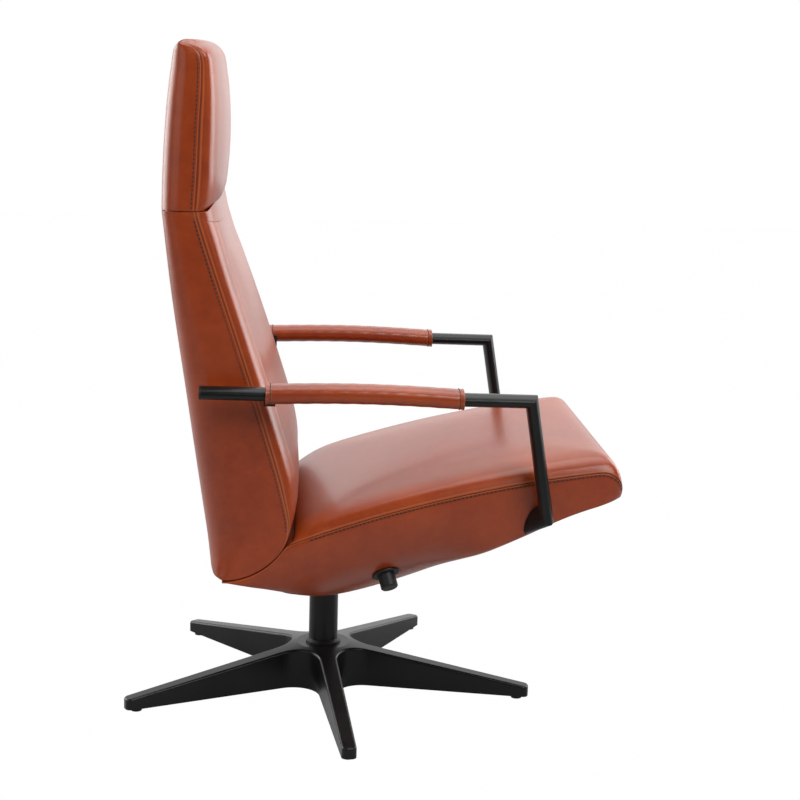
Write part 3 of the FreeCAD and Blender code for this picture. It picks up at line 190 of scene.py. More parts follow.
metalLook = {"shade": (0.0045, 0.0050, 0.0050, 1.0), "worn": (0.0085, 0.0092, 0.0092, 1.0),
             "fine": (900.0, 2.0), "patch": (9.0, 3.0), "patchRange": (0.4, 0.7),
             "rough": (0.25, 0.35), "bump": (0.10, 0.0004), "gloss": 0.20}
plasticLook = {"shade": (0.0055, 0.0055, 0.0060, 1.0), "worn": (0.011, 0.011, 0.012, 1.0),
               "fine": (1400.0, 3.0, 0.7), "patch": (30.0, 5.0, 0.7), "patchRange": (0.45, 0.75),
               "rough": (0.42, 0.58), "bump": (0.15, 0.0003), "gloss": 0.3}


# powder coat or moulded plastic: patches shift the shade and the sheen, a fine noise raises the surface
def makeBlack(name, look):
    finish, shader, place = newFinish(name)
    fine, patch = place.noise(*look["fine"]), place.noise(*look["patch"])
    feed(shader, {"Base Color": patch.share(*look["patchRange"]).tint(look["shade"], look["worn"]),
                  "Roughness": patch.between(*look["rough"]), "Normal": fine.raised(*look["bump"]),
                  "Specular IOR Level": look["gloss"]})
    return finish


steelLook = {"shade": (0.36, 0.37, 0.39, 1.0), "stain": (0.24, 0.24, 0.25, 1.0),
             "scratch": (1500.0, 60.0, 60.0), "patch": (22.0, 4.0), "patchRange": (0.4, 0.65),
             "rough": (0.25, 0.45), "bump": (0.12, 0.0003)}


# bright steel: noise squeezed along X gives fine drawn lines, and slow noise gives oily patches
def makeSteel(look):
    finish, shader, place = newFinish("brightSteel")
    drawn = place.node("Mapping", {}, {"Vector": place, "Scale": look["scratch"]}).noise(1.0, 4.0)
    patch = place.noise(*look["patch"])
    feed(shader, {"Base Color": patch.share(*look["patchRange"]).tint(look["shade"], look["stain"]),
                  "Roughness": drawn.between(*look["rough"]), "Metallic": 1.0,
                  "Normal": drawn.raised(*look["bump"])})
    return finish


webbingLook = {"shade": (0.020, 0.020, 0.022, 1.0), "rib": (0.055, 0.055, 0.060, 1.0), "ribScale": 420.0,
               "rough": (0.8, 0.7), "bump": (0.5, 0.0006)}


# woven webbing: waves along X times waves along Y make small squares
def makeWebbing(look):
    finish, shader, place = newFinish("wovenWebbing")
    across, along = (place.node("TexWave", {"bands_direction": way},
                                {"Vector": place, "Scale": look["ribScale"]}, out=1) for way in "XY")
    weave = across * along
    feed(shader, {"Base Color": weave.tint(look["shade"], look["rib"]),
                  "Roughness": weave.between(*look["rough"]), "Normal": weave.raised(*look["bump"])})
    return finish


threadLook = {"dark": (0.050, 0.012, 0.005, 1.0), "lit": (0.130, 0.034, 0.013, 1.0), "twist": (1800.0, 2.0),
              "litRange": (0.35, 0.65), "rough": (0.5, 0.7), "bump": (0.3, 0.0003)}
# needle holes: near-black colours painted as the shade inside a hole
holeShadeLook = {**threadLook, "dark": (0.005, 0.002, 0.001, 1.0), "lit": (0.014, 0.004, 0.002, 1.0),
            "twist": (2600.0, 2.0)}


# waxed thread, or the painted shade of a needle hole: a fine noise in colour and height
def makeThread(name, look):
    finish, shader, place = newFinish(name)
    twist = place.noise(*look["twist"])
    feed(shader, {"Base Color": twist.share(*look["litRange"]).tint(look["dark"], look["lit"]),
                  "Roughness": twist.between(*look["rough"]), "Normal": twist.raised(*look["bump"])})
    return finish


finishes = {"leather": makeLeather(leatherLook), "black_metal": makeBlack("blackPowderCoat", metalLook),
            "black_plastic": makeBlack("blackMouldedPlastic", plasticLook), "steel": makeSteel(steelLook),
            "webbing": makeWebbing(webbingLook)}
threadFinish = makeThread("waxedThread", threadLook)
holeShadeFinish = makeThread("needleHoleShade", holeShadeLook)
for subpart in frame["record"]["subparts"]:
    node = frame["nodes"][subpart["node"]]
    node.data.materials.clear()
    node.data.materials.append(finishes[subpart["material_slot"]])
print("finishes:", len(finishes), "and two for the sewing")


# rise from 0 to 1 that is level at both ends: three times the square less twice the cube
def smoothStep(share):
    share = np.clip(share, 0.0, 1.0)
    return share * share * (3.0 - 2.0 * share)


# bell of a distance: 1 in the middle, falling off with the square of distance over width
def bell(distance, width):
    return np.exp(-(distance / width) ** 2)


# directions once round a loop, as one row
def turns(count):
    return np.linspace(0.0, 2.0 * math.pi, count, endpoint=False)[None, :]


# quarter of a turn in even steps
def quarter(count):
    return np.linspace(0.0, math.pi / 2.0, count)


# length run along a path at each of its points
def runAlong(path):
    return np.concatenate([[0.0], np.cumsum(np.linalg.norm(np.diff(path[:, :3], axis=0), axis=1))])


# rows of values along a path, read at given lengths
def readAt(places, run, rows):
    return np.stack([np.interp(places, run, column) for column in rows.T], axis=-1)


# distances that start fine at an edge and grow to an even step, ending exactly at length
def fromEdge(length, fine, even, growth=1.45):
    steps = [0.0]
    step = fine
    while steps[-1] < length:
        steps.append(steps[-1] + step)
        step = min(step * growth, even)
    steps = np.array(steps)
    return steps * (length / steps[-1])


# the same at both ends: fine near 0 and near length
def betweenEdges(length, fine, even):
    half = fromEdge(length / 2.0, fine, even)
    return np.concatenate([half, length - half[-2::-1]])


# smooth line through a few points (place, value): cubic pieces with slopes from the neighbours
def lineThrough(points, place):
    xs = np.array([point[0] for point in points], float)
    ys = np.array([point[1] for point in points], float)
    slopes = np.gradient(ys, xs)
    place = np.clip(place, xs[0], xs[-1])
    index = np.clip(np.searchsorted(xs, place) - 1, 0, len(xs) - 2)
    width = xs[index + 1] - xs[index]
    t = (place - xs[index]) / width
    return ((2 * t ** 3 - 3 * t ** 2 + 1) * ys[index] + (t ** 3 - 2 * t ** 2 + t) * width * slopes[index]
            + (3 * t ** 2 - 2 * t ** 3) * ys[index + 1] + (t ** 3 - t ** 2) * width * slopes[index + 1])


# closed skin from rings: points[ring, step, 3]; each ring is a loop, and the end rings are closed
# by strips between step k and its opposite step, as the two halves of a ring mirror each other
def skin(name, rings, *values):
    count, steps = rings.shape[:2]
    index = np.arange(count * steps).reshape(count, steps)
    faces = gridFaces(index[:-1], index[1:])
    half = steps // 2
    near = np.arange(half - 1)
    far = steps - 1 - near
    ends = []
    for ring, flip in ((0, True), (count - 1, False)):
        loop = index[ring]
        strip = np.stack([loop[near], loop[near + 1], loop[far - 1], loop[far]], axis=-1)
        ends.append(strip[:, ::-1] if flip else strip)
    faces = np.concatenate([faces] + ends)
    return meshFrom(name, rings.reshape(-1, 3), faces, finishes["leather"], values)


# quads between two rows of loops, each step joined to the next one round the loop
def gridFaces(lower, upper):
    besideLower = np.roll(lower, -1, axis=1)
    besideUpper = np.roll(upper, -1, axis=1)
    return np.stack([lower, besideLower, besideUpper, upper], axis=-1).reshape(-1, 4)


# skin of a hollow piece: the rings go out along the outside and come back along the inside
def hollowSkin(name, rings, *values):
    count, steps = rings.shape[:2]
    index = np.arange(count * steps).reshape(count, steps)
    faces = gridFaces(index, np.roll(index, -1, axis=0))
    return meshFrom(name, rings.reshape(-1, 3), faces, finishes["leather"], values)


# object of this data in the scene
def toScene(name, data):
    made = bpy.data.objects.new(name, data)
    bpy.context.scene.collection.objects.link(made)
    return made


mend = {"doubles": 2e-5, "slivers": 1e-6}


# object of these points and faces; its point values are nearness to a seam, wear with a painted sheen and
# freedom to swell; doubles are merged, slivers dissolved and normals turned outwards
def meshFrom(name, points, faces, finish, values=()):
    mesh = bpy.data.meshes.new(name)
    mesh.from_pydata(points.tolist(), [], faces.tolist())
    for key, numbers in zip(("seamNear", "wearAndSheen", "freedom"), values):
        attribute = mesh.attributes.new(key, "FLOAT", "POINT")
        attribute.data.foreach_set("value", np.asarray(numbers, np.float32).ravel())
    work = bmesh.new()
    work.from_mesh(mesh)
    bmesh.ops.remove_doubles(work, verts=work.verts, dist=mend["doubles"])
    bmesh.ops.dissolve_degenerate(work, edges=work.edges, dist=mend["slivers"])
    bmesh.ops.recalc_face_normals(work, faces=work.faces)
    work.to_mesh(mesh)
    work.free()
    mesh.polygons.foreach_set("use_smooth", np.ones(len(mesh.polygons), bool))
    mesh.materials.append(finish)
    return toScene(name, mesh)


# points of a mesh as rows of x, y, z
def coordinates(mesh):
    flat = np.empty(len(mesh.vertices) * 3, np.float32)
    mesh.vertices.foreach_get("co", flat)
    return flat.reshape(-1, 3).astype(float)


clothRun = {"frames": 20, "cap": 0.026, "levels": 20,   # levels: steps of the holding weights
            "rules": {"quality": 6, "mass": 0.4, "tension_stiffness": 18.0, "compression_stiffness": 18.0,
                      "shear_stiffness": 9.0, "bending_stiffness": 3.0, "use_pressure": True,
                      "uniform_pressure_force": 4.0, "vertex_group_mass": "held"}}


# padded leather: blown up as cloth, then each point keeps its swelling up to a cap, times its own freedom;
# a piece that is held all over keeps its shape and needs no run
def swell(piece, run):
    free = np.empty(len(piece.data.vertices), np.float32)
    piece.data.attributes["freedom"].data.foreach_get("value", free)
    if not free.any():
        return
    held = piece.vertex_groups.new(name="held")
    level = np.round((1.0 - free) * run["levels"]).astype(int)
    for step in np.unique(level):
        held.add(np.flatnonzero(level == step).tolist(), float(step) / run["levels"], "REPLACE")
    start = coordinates(piece.data)
    cloth = piece.modifiers.new("cloth", "CLOTH")
    for key, value in run["rules"].items():
        setattr(cloth.settings, key, value)
    cloth.settings.effector_weights.gravity = 0.0
    scene = bpy.context.scene
    cloth.point_cache.frame_start = 1
    cloth.point_cache.frame_end = run["frames"]
    for number in range(1, run["frames"] + 1):
        scene.frame_set(number)
    shown = piece.evaluated_get(bpy.context.evaluated_depsgraph_get()).to_mesh()
    move = coordinates(shown) - start
    length = np.linalg.norm(move, axis=1, keepdims=True)
    move *= np.minimum(1.0, run["cap"] / np.maximum(length, 1e-9))
    piece.modifiers.remove(cloth)
    piece.vertex_groups.clear()
    piece.data.vertices.foreach_set("co", (start + move * free[:, None]).astype(np.float32).ravel())
    piece.data.update()
    scene.frame_set(1)
    print("swelled", piece.name, "by up to", round(float((length.ravel() * free).max()) * 1000, 1), "mm")


seat = {
    "seamPoints": ((0.047, 0.331), (-0.181, 0.401), (-0.430, 0.447)),   # side seam, (y, z)
    "half": 0.270, "nose": -0.4648, "corner": 0.016, "noseDrop": 0.040, "curl": 0.0400,
    "edgeQuick": 0.005, "edgeSlow": 0.028, "quickShare": 0.40, "crown": 0.029, "rim": 0.0012,
    "padLift": 0.0003, "edgeDrop": 0.0002,   # pad and belly keep clear of each other at the seam
    "gridAcross": (0.0007, 0.0125), "gridAlong": (0.0014, 0.0240),   # finest and even steps
    "rearAt": 0.056,   # where the pad's height at the cradle is read
    "rearRoll": {"length": 0.085, "drop": 0.020, "power": 2.4},
    "padSeam": 0.0028, "bellySeam": 0.0016,   # widths of the seam's painted shade and highlight
    "sewn": (0.022, 0.016),   # how far in from the side the sewing starts, and how soon it is full
    "free": {"from": 0.012, "over": 0.10, "rear": 0.08},
    # pale band along the pad's border, for wear and a painted sheen, and a little on the belly
    "sheenAndWear": {"rise": 0.04, "from": 0.05, "over": 0.12, "most": 0.6, "least": 0.15, "belly": 0.10},
    "tuck": 0.0018, "tuckWidth": 0.0025,
    "hinge": (0.170, 0.380),   # of the back, (y, z), and the cradle's radius about it
    "cradle": 0.1166,
    "tail": 0.1690, "tailRun": 0.115, "noseRun": 0.06,   # runs of the side that have their own steps
    "middle": 0.006,   # the plan starts and ends this far from the middle
    "keelLine": ((-0.468, 0.4050), (-0.4645, 0.4042), (-0.459, 0.4020), (-0.447, 0.3965), (-0.430, 0.3895),
                 (-0.390, 0.3720), (-0.302, 0.3300), (-0.202, 0.2800), (-0.126, 0.2385), (-0.079, 0.2175),
                 (-0.046, 0.2105), (-0.017, 0.2080), (0.030, 0.2080), (0.0625, 0.2120), (0.100, 0.2200),
                 (0.136, 0.2330), (0.169, 0.2600)),   # underside at the middle, (y, z)
    "keelLift": ((-0.470, 0.000), (-0.430, 0.003), (-0.370, 0.006), (-0.310, 0.004), (-0.230, 0.000),
                 (-0.030, 0.000), (0.000, 0.0055), (0.032, 0.0130), (0.0625, 0.0200), (0.088, 0.0250),
                 (0.113, 0.0260), (0.136, 0.0225), (0.169, 0.0030)),   # how much its sides rise
    "liftFrom": 0.110, "liftOver": 0.120,
    "hull": ((0.270, 0.000), (0.2695, 0.020), (0.264, 0.046), (0.2465, 0.083), (0.215, 0.114), (0.165, 0.145),
             (0.110, 0.164), (0.050, 0.170), (0.000, 0.171)),   # half width and depth below the seam
    "hullSoft": 0.0050, "softRoom": 0.05, "leastRoom": 0.002,   # with less than softRoom it softens less
    "hullFront": (0.270, 0.2698, 0.2685, 0.2640, 0.246, 0.190, 0.120, 0.052, 0.000),   # the same widths ahead
    "frontFrom": -0.16, "frontOver": 0.10,
    "noseSweep": ((0.00, 0.000), (0.07, 0.0030), (0.16, 0.0100), (0.26, 0.0200), (0.40, 0.036), (0.60, 0.066),
                  (1.00, 0.160)),   # how far back the nose goes, by the share of the hull
    "sweepOver": 0.150,
}


# circle through three points (y, z): centre and radius
def circleThrough(points):
    (ay, az), (by, bz), (cy, cz) = points
    lead = 2.0 * (ay * (bz - cz) + by * (cz - az) + cy * (az - bz))
    a2, b2, c2 = ay * ay + az * az, by * by + bz * bz, cy * cy + cz * cz
    y = (a2 * (bz - cz) + b2 * (cz - az) + c2 * (az - bz)) / lead
    z = (a2 * (cy - by) + b2 * (ay - cy) + c2 * (by - ay)) / lead
    return y, z, math.hypot(ay - y, az - z)


seamCircle = circleThrough(seat["seamPoints"])


# height of the side seam: on its circle, curling down by a quarter ellipse round the nose
def seamHeight(y):
    cy, cz, radius = seamCircle
    turned = np.clip((seat["nose"] + seat["curl"] - y) / seat["curl"], 0.0, 0.998)
    return cz + np.sqrt(radius ** 2 - (y - cy) ** 2) - seat["noseDrop"] * (1.0 - np.sqrt(1.0 - turned ** 2))


# front of the plan at a place across: straight, with quarter-round corners
def noseLine(x):
    past = np.clip(np.abs(x) - (seat["half"] - seat["corner"]), 0.0, seat["corner"])
    return seat["nose"] + seat["corner"] - np.sqrt(seat["corner"] ** 2 - past ** 2)


# distance from the rounded plan outline, inwards
def planDepth(x, y):
    qx = np.abs(x) - (seat["half"] - seat["corner"])
    qy = seat["nose"] + seat["corner"] - y
    outside = np.hypot(np.maximum(qx, 0.0), np.maximum(qy, 0.0))
    return seat["corner"] - outside - np.minimum(np.maximum(qx, qy), 0.0)


# crowned top: rises from the seam by two exponentials of the depth, a quick one at the edge and a slow one
def padHeight(x, y):
    depth = np.clip(planDepth(x, y), 0.0, None)
    quick = seat["quickShare"] * (1.0 - np.exp(-depth / seat["edgeQuick"]))
    slow = (1.0 - seat["quickShare"]) * (1.0 - np.exp(-depth / seat["edgeSlow"]))
    return seamHeight(y) + seat["crown"] * (quick + slow)


# circle about the back's hinge, for the cradle and the foot in it: how far forward it is at a height
def hingeCircle(z, radius):
    hingeY, hingeZ = seat["hinge"]
    drop = np.clip(hingeZ - z, 0.0, radius)
    return hingeY - np.sqrt(radius ** 2 - drop ** 2)


# where the seam is sewn: along the sides, while the nose leather runs on under the front
def sewnSide(x):
    inside, soon = seat["sewn"]
    return smoothStep((np.abs(x) - seat["half"] + inside) / soon)


# seat pad: a grid between the nose line and the cradle's wall, the crowned top over a level just above the
# seam, with the top rolled down before the back; free to swell away from the edges, paler along the border
# for wear and a painted sheen
def makeSeatPad():
    across = betweenEdges(2.0 * seat["half"], *seat["gridAcross"]) - seat["half"]
    along = fromEdge(1.0, *seat["gridAlong"])
    x = across[None, :] * np.ones((len(along), 1))
    front = noseLine(x)
    rear = hingeCircle(padHeight(x, np.full_like(x, seat["rearAt"])), seat["cradle"])
    y = front + along[:, None] * (rear - front)
    low = seamHeight(y) + seat["padLift"]
    depth = np.clip(planDepth(x, y), 0.0, None)
    roll, room, sheenAndWearRule = seat["rearRoll"], seat["free"], seat["sheenAndWear"]
    rolled = 1.0 - np.clip((rear - y) / roll["length"], 0.0, 1.0)
    top = padHeight(x, y) + seat["rim"] - roll["drop"] * rolled ** roll["power"]
    top = np.maximum(top, low + seat["rim"])
    upper = np.stack([x, y, top], axis=-1)
    lower = np.stack([x, y, low], axis=-1)
    rings = np.concatenate([upper, lower[:, ::-1]], axis=1)
    # seam value along the sewn sides, for the painted shade and highlight
    near = bell(np.hypot(depth, top - low), seat["padSeam"]) * sewnSide(x)
    free = smoothStep((depth - room["from"]) / room["over"]) * smoothStep((rear - y) / room["rear"])
    # border band: wear and a painted sheen
    border = smoothStep(depth / sheenAndWearRule["rise"]) * (1.0 - smoothStep((depth - sheenAndWearRule["from"]) / sheenAndWearRule["over"]))
    sheenAndWear = border * sheenAndWearRule["most"] + sheenAndWearRule["least"]
    under = np.zeros_like(free)
    return skin("seatPad", rings, *(np.concatenate([grid, under], axis=1) for grid in (near, sheenAndWear, free)))


# height of the belly's upper edge: the seam, and behind it the cradle's wall
def bellyEdge(y):
    hingeY, hingeZ = seat["hinge"]
    edge = seamHeight(y)
    arc = hingeZ - np.sqrt(np.clip(seat["cradle"] ** 2 - (hingeY - y) ** 2, 0.0, None))
    return np.where(y > hingeCircle(edge, seat["cradle"]), np.minimum(arc, edge), edge) - seat["edgeDrop"]


# belly's edge in plan: straight behind, along the side, a quarter circle and straight ahead, then mirrored
def bellyPlan():
    half, corner, nose, tail, middle = (seat[key] for key in ("half", "corner", "nose", "tail", "middle"))
    tailRun, noseRun = seat["tailRun"], seat["noseRun"]
    rearX = np.linspace(middle, half, 20)[:-1]
    sideY = np.concatenate([tail - fromEdge(tailRun, 0.002, 0.008)[:-1],
                            np.linspace(tail - tailRun, nose + corner + noseRun, 46)[:-1],
                            np.linspace(nose + corner + noseRun, nose + corner, 22)])
    bend = quarter(14)[1:]
    frontX = np.linspace(half - corner, middle, 18)[1:]
    x = np.concatenate([rearX, np.full_like(sideY, half), half - corner + corner * np.cos(bend), frontX])
    y = np.concatenate([np.full_like(rearX, tail), sideY, nose + corner - corner * np.sin(bend),
                        np.full_like(frontX, nose)])
    return np.concatenate([x, -x[::-1]]), np.concatenate([y, y[::-1]])


# height of the underside: the keel line, with its sides lifted a little
def keelHeight(x, y):
    outer = smoothStep((np.abs(x) - seat["liftFrom"]) / seat["liftOver"])
    return lineThrough(seat["keelLine"], y) + outer * lineThrough(seat["keelLift"], y)


# belly: each ring is the plan edge drawn in by the hull's width and let down by its depth below the seam,
# with the depth kept softly above the keel and the nose swept under; behind, the hull starts at the cradle
def bellyRings():
    planX, planY = bellyPlan()
    steps = np.linspace(0.0, 1.0, len(seat["hull"]))
    widths, falls = (list(zip(steps, column)) for column in zip(*seat["hull"]))
    frontWidths = list(zip(steps, seat["hullFront"]))
    edge = bellyEdge(planY)[None, :]
    begun = np.clip(seamHeight(planY)[None, :] - edge, 0.0, None)
    fine = np.linspace(0.0, 1.0, 400)
    first = np.interp(begun, lineThrough(falls, fine), fine)
    upperShare = 0.10   # this much of the hull has finer steps
    share = np.concatenate([fromEdge(upperShare, 0.004, 0.016), np.linspace(upperShare, 1.0, 44)[1:]])
    share = first + (1.0 - first) * share[:, None]
    fall = lineThrough(falls, share) - begun
    atNose = smoothStep((seat["nose"] + seat["sweepOver"] - planY) / seat["sweepOver"])[None, :]
    ahead = smoothStep((seat["frontFrom"] - planY) / seat["frontOver"])[None, :]
    width = lineThrough(widths, share)
    width = width + ahead * (lineThrough(frontWidths, share) - width)
    x = planX[None, :] * np.clip(width, 0.0, None) / seat["half"]
    y = planY[None, :] + lineThrough(seat["noseSweep"], share) * atNose
    room = np.clip(edge - keelHeight(x, y), seat["leastRoom"], None)
    soft = seat["hullSoft"] * np.clip(room / seat["softRoom"], 0.2, 1.0)
    depth = -soft * np.log(np.exp(-fall / soft) + np.exp(-room / soft))
    depth = depth - depth[:1]
    x = x - np.sign(planX)[None, :] * seat["tuck"] * np.exp(-depth / seat["tuckWidth"])
    return np.stack([x, y, edge - depth], axis=-1), depth


# belly skin, with the seam's painted shade and highlight fading down from its edge
def makeSeatBelly():
    rings, depth = bellyRings()
    near = bell(depth, seat["bellySeam"]) * sewnSide(bellyPlan()[0])[None, :]
    return skin("seatBelly", rings, near, np.full_like(near, seat["sheenAndWear"]["belly"]), np.zeros_like(near))


back = {
    "half": 0.262,
    "neckHalf": 0.248,
    "neck": (0.2358, 0.848),   # hinge of the head, (y, z)
    "foot": 0.2647,
    "top": 0.8428,
    "rings": {"footRun": 0.10, "footSteps": (0.0006, 0.008), "even": 50, "topFrom": 0.80,
              "topSteps": (0.0006, 0.009)},
    "notch": math.tan(math.radians(20.0)),   # slope of the cut at the neck, which begins at this height
    "notchFrom": 0.68,
    "lean": 0.32,   # of the front into the notch, reached this far ahead of the hinge
    "leanOver": 0.05,
    "rear": ((0.2645, 0.1700), (0.268, 0.1795), (0.276, 0.1855), (0.290, 0.1885), (0.310, 0.1915),
             (0.400, 0.2055), (0.560, 0.2290), (0.720, 0.2520), (0.848, 0.2665)),
    "seam": ((0.380, 0.0690), (0.420, 0.0790), (0.500, 0.1030), (0.660, 0.1550), (0.780, 0.1945),
             (0.848, 0.2150)),   # rear face and seam, (z, y)
    "seamOff": ((0.260, 0.0008), (0.326, 0.0008), (0.347, 0.0050), (0.365, 0.0108), (0.380, 0.0150)),
    "arc": 0.1160,   # round foot about the hinge
    "power": 3.4,
    "crown": 0.033,
    "crownLoss": {"depth": 0.011, "over": 0.05},   # flatter just above the hinge
    "footCrown": {"from": 0.34, "over": 0.04, "share": 0.25},   # what is left of it below the hinge
    "rearEdge": 0.060, "cornerShare": 0.46, "tuck": 0.0008, "tuckWidth": 0.0022,
    "sideSeam": 0.0016,   # width of its painted shade and highlight
    "panelSeam": 0.040,   # upright seam of the front, from the side
    # front seam's groove: sunk by depth over width, with painted shade along it, dark over colour
    "groove": {"depth": 0.0011, "width": 0.0022, "steps": (-0.0045, -0.0022, 0.0, 0.0022, 0.0045),
               "colour": 0.002, "dark": 0.8},
    # a little wear everywhere, and a painted sheen band on the front near the side seam
    "sheenAndWear": {"least": 0.12, "front": 0.5, "at": 0.03, "width": 0.02},
    "free": {"from": 0.012, "over": 0.10, "ends": 0.07},
    "sideFree": {"share": 0.25, "from": 0.01, "over": 0.03},
}


panelSeamSteps = (back["panelSeam"] + np.array(back["groove"]["steps"])) / back["half"]


# plan section of a panel: loop from the rear middle round one side to the front middle; the rear corner is
# a quarter circle, the side runs straight to the seam, the front is one super-ellipse across the width
def panelSection(half, rear, seamY, crown, corner, groove):
    bend = quarter(16)
    rearX = np.concatenate([np.linspace(0.0, half - corner, 18)[:-1], half - corner + corner * np.sin(bend)])
    rearY = np.concatenate([np.full(17, rear), rear - corner * (1.0 - np.cos(bend))])
    room = max(rear - corner - seamY, 0.0005)
    sideY = seamY + room * fromEdge(1.0, 0.02, 0.13)[::-1][1:]
    sideX = half - back["tuck"] * np.exp(-(sideY - seamY) / back["tuckWidth"])
    inward = half * np.sort(np.concatenate([fromEdge(1.0, 0.0020, 0.046)[1:], panelSeamSteps]))
    fullness = (1.0 - (1.0 - inward / half) ** back["power"]) ** (1.0 / back["power"])
    cut = back["groove"]
    sunk = cut["depth"] * groove * bell(inward - back["panelSeam"], cut["width"])
    frontY = seamY - crown * fullness + sunk
    frontX = half - inward - back["tuck"] * np.exp(-inward / back["tuckWidth"])
    frontX[-1] = 0.0
    x = np.concatenate([rearX, sideX, frontX])
    y = np.concatenate([rearY, sideY, frontY])
    reach = np.concatenate([np.full(len(rearX), 1.0), sideY - seamY, np.hypot(inward, seamY - frontY)])
    across = np.concatenate([np.zeros(len(rearX) + len(sideX)), inward])
    return x, y, reach, across


# both halves of a section as one loop, starting beside the rear middle
def bothSides(x, y, z):
    ring = np.stack([x, y, z], axis=-1)
    return np.concatenate([ring, ring[1:-1][::-1] * np.array([-1.0, 1.0, 1.0])])


# values of both halves in the same order
def mirrored(numbers):
    return np.concatenate([numbers, numbers[1:-1][::-1]])


# ring of a panel at a height, tilted and leaning towards the neck, with its seam, wear with a painted sheen
# and
# freedom: each a bell or a smooth step of the reach from the side seam
def panelRing(shape, z, tilt, groove):
    x, y, reach, across = panelSection(*shape(z), groove)
    cut, sheenAndWearRule, room, side = (back[key] for key in ("groove", "sheenAndWear", "free", "sideFree"))
    onFront = np.sign(across)
    up = tilt(y, np.full_like(y, z))
    y = y + back["lean"] * (up - z) * np.clip((back["neck"][0] - y) / back["leanOver"], 0.0, 1.0)
    near = bell(reach, back["sideSeam"])
    # painted shade along the front seam's groove
    near = near + cut["dark"] * groove * bell(across - back["panelSeam"], cut["colour"])
    # painted sheen band on the front near the side seam, over a little wear everywhere
    sheenAndWear = sheenAndWearRule["least"] + sheenAndWearRule["front"] * onFront * bell(reach - sheenAndWearRule["at"], sheenAndWearRule["width"])
    free = onFront * smoothStep((reach - room["from"]) / room["over"])
    free = free + side["share"] * smoothStep((reach - side["from"]) / side["over"]) * (1.0 - onFront)
    return bothSides(x, y, up), mirrored(near), mirrored(sheenAndWear), mirrored(free)


# heights of a panel's rings: fine steps from the foot, even ones between, fine ones to the top
def ringHeights(panel):
    foot, top, rings = panel["foot"], panel["top"], panel["rings"]
    between = np.linspace(foot + rings["footRun"], rings["topFrom"], rings["even"])[1:-1]
    return np.concatenate([foot + fromEdge(rings["footRun"], *rings["footSteps"]), between,
                           top - fromEdge(top - rings["topFrom"], *rings["topSteps"])[::-1]])


# back or head: a ring at each height, held at both ends
def makePanelPiece(name, panel, shape, tilt, groove):
    heights = ringHeights(panel)
    made = [panelRing(shape, z, tilt, groove) for z in heights]
    rings, nears, sheensAndWears, frees = (np.roll(np.array(grid), -1, axis=1) for grid in zip(*made))
    over = back["free"]["ends"]
    ends = smoothStep((heights - heights[0]) / over) * smoothStep((heights[-1] - heights) / over)
    return skin(name, rings, nears, sheensAndWears, frees * ends[:, None])


# value at one height of a line through points
def lineAt(points, z):
    return float(lineThrough(points, np.array(z)))


# back's section at a height: half width tapering to the neck, rear and seam on their lines, and below the
# hinge a seam that follows the round foot while the crown fades
def backShape(z):
    hingeZ = seat["hinge"][1]
    share = (z - hingeZ) / (back["neck"][1] - hingeZ)
    half = back["half"] + max(share, -0.3) * (back["neckHalf"] - back["half"])
    rear = lineAt(back["rear"], z)
    full, loss, foot = back["crown"], back["crownLoss"], back["footCrown"]
    if z < hingeZ:
        off = lineAt(back["seamOff"], z)
        seamY = min(hingeCircle(z, back["arc"]) + off, rear - 0.0010)
        full = off + (full - off) * smoothStep((z - foot["from"]) / foot["over"]) * foot["share"]
    else:
        seamY = lineAt(back["seam"], z)
        full = full - loss["depth"] * (1.0 - smoothStep((z - hingeZ) / loss["over"]))
    corner = min(back["rearEdge"], back["cornerShare"] * max(rear - seamY, 0.001))
    return half, rear, seamY, full, corner


# cut at the neck: heights drop with the distance ahead of the head's hinge, more so towards the top
def backTilt(y, z):
    ahead = np.clip(back["neck"][0] - y, 0.0, None)
    return z - ahead * back["notch"] * smoothStep((z - back["notchFrom"]) / (back["top"] - back["notchFrom"]))


# heights as they are
def noTilt(y, z):
    return z


head = {
    "half": 0.244,
    "foot": 0.8431,
    "top": 1.1012,
    "rings": {"footRun": 0.06, "footSteps": (0.0006, 0.006), "even": 17, "topFrom": 1.041,
              "topSteps": (0.0005, 0.006)},
    "corner": 0.026, "rearRound": 0.021, "frontRound": 0.031, "rearEdge": 0.036, "cornerShare": 0.62,
    "rear": ((0.843, 0.2667), (0.900, 0.2655), (0.960, 0.2625), (1.020, 0.2575), (1.070, 0.2510),
             (1.105, 0.2460)),   # rear, front and seam, (z, y)
    "front": ((0.843, 0.1920), (0.848, 0.1850), (0.858, 0.1785), (0.870, 0.1760), (0.926, 0.1735),
              (0.975, 0.1725), (1.030, 0.1745), (1.070, 0.1790), (1.105, 0.1830)),
    "seam": ((0.843, 0.2145), (0.900, 0.2112), (0.980, 0.2080), (1.045, 0.2050), (1.070, 0.2058),
             (1.083, 0.2105), (1.0900, 0.2200), (1.0932, 0.2310), (1.0950, 0.2450), (1.105, 0.2600)),
}


# how far a corner of this radius has turned in at a height below the top
def topRound(z, radius):
    past = min(max(z - head["top"] + radius, 0.0), radius)
    return radius - math.sqrt(max(radius ** 2 - past ** 2, 0.0))


# head's section at a height: the lines of rear, front and seam, all rounded in towards the top
def headShape(z):
    share = (z - back["neck"][1]) / (head["top"] - back["neck"][1])
    half = back["neckHalf"] + share * (head["half"] - back["neckHalf"]) - topRound(z, head["corner"])
    rear = lineAt(head["rear"], z) - topRound(z, head["rearRound"])
    front = min(lineAt(head["front"], z) + topRound(z, head["frontRound"]), rear - 0.0012)
    seamY = min(max(lineAt(head["seam"], z), front + 0.0006), rear - 0.0004)
    corner = min(head["rearEdge"], head["cornerShare"] * (rear - seamY))
    return half, rear, seamY, seamY - front, corner


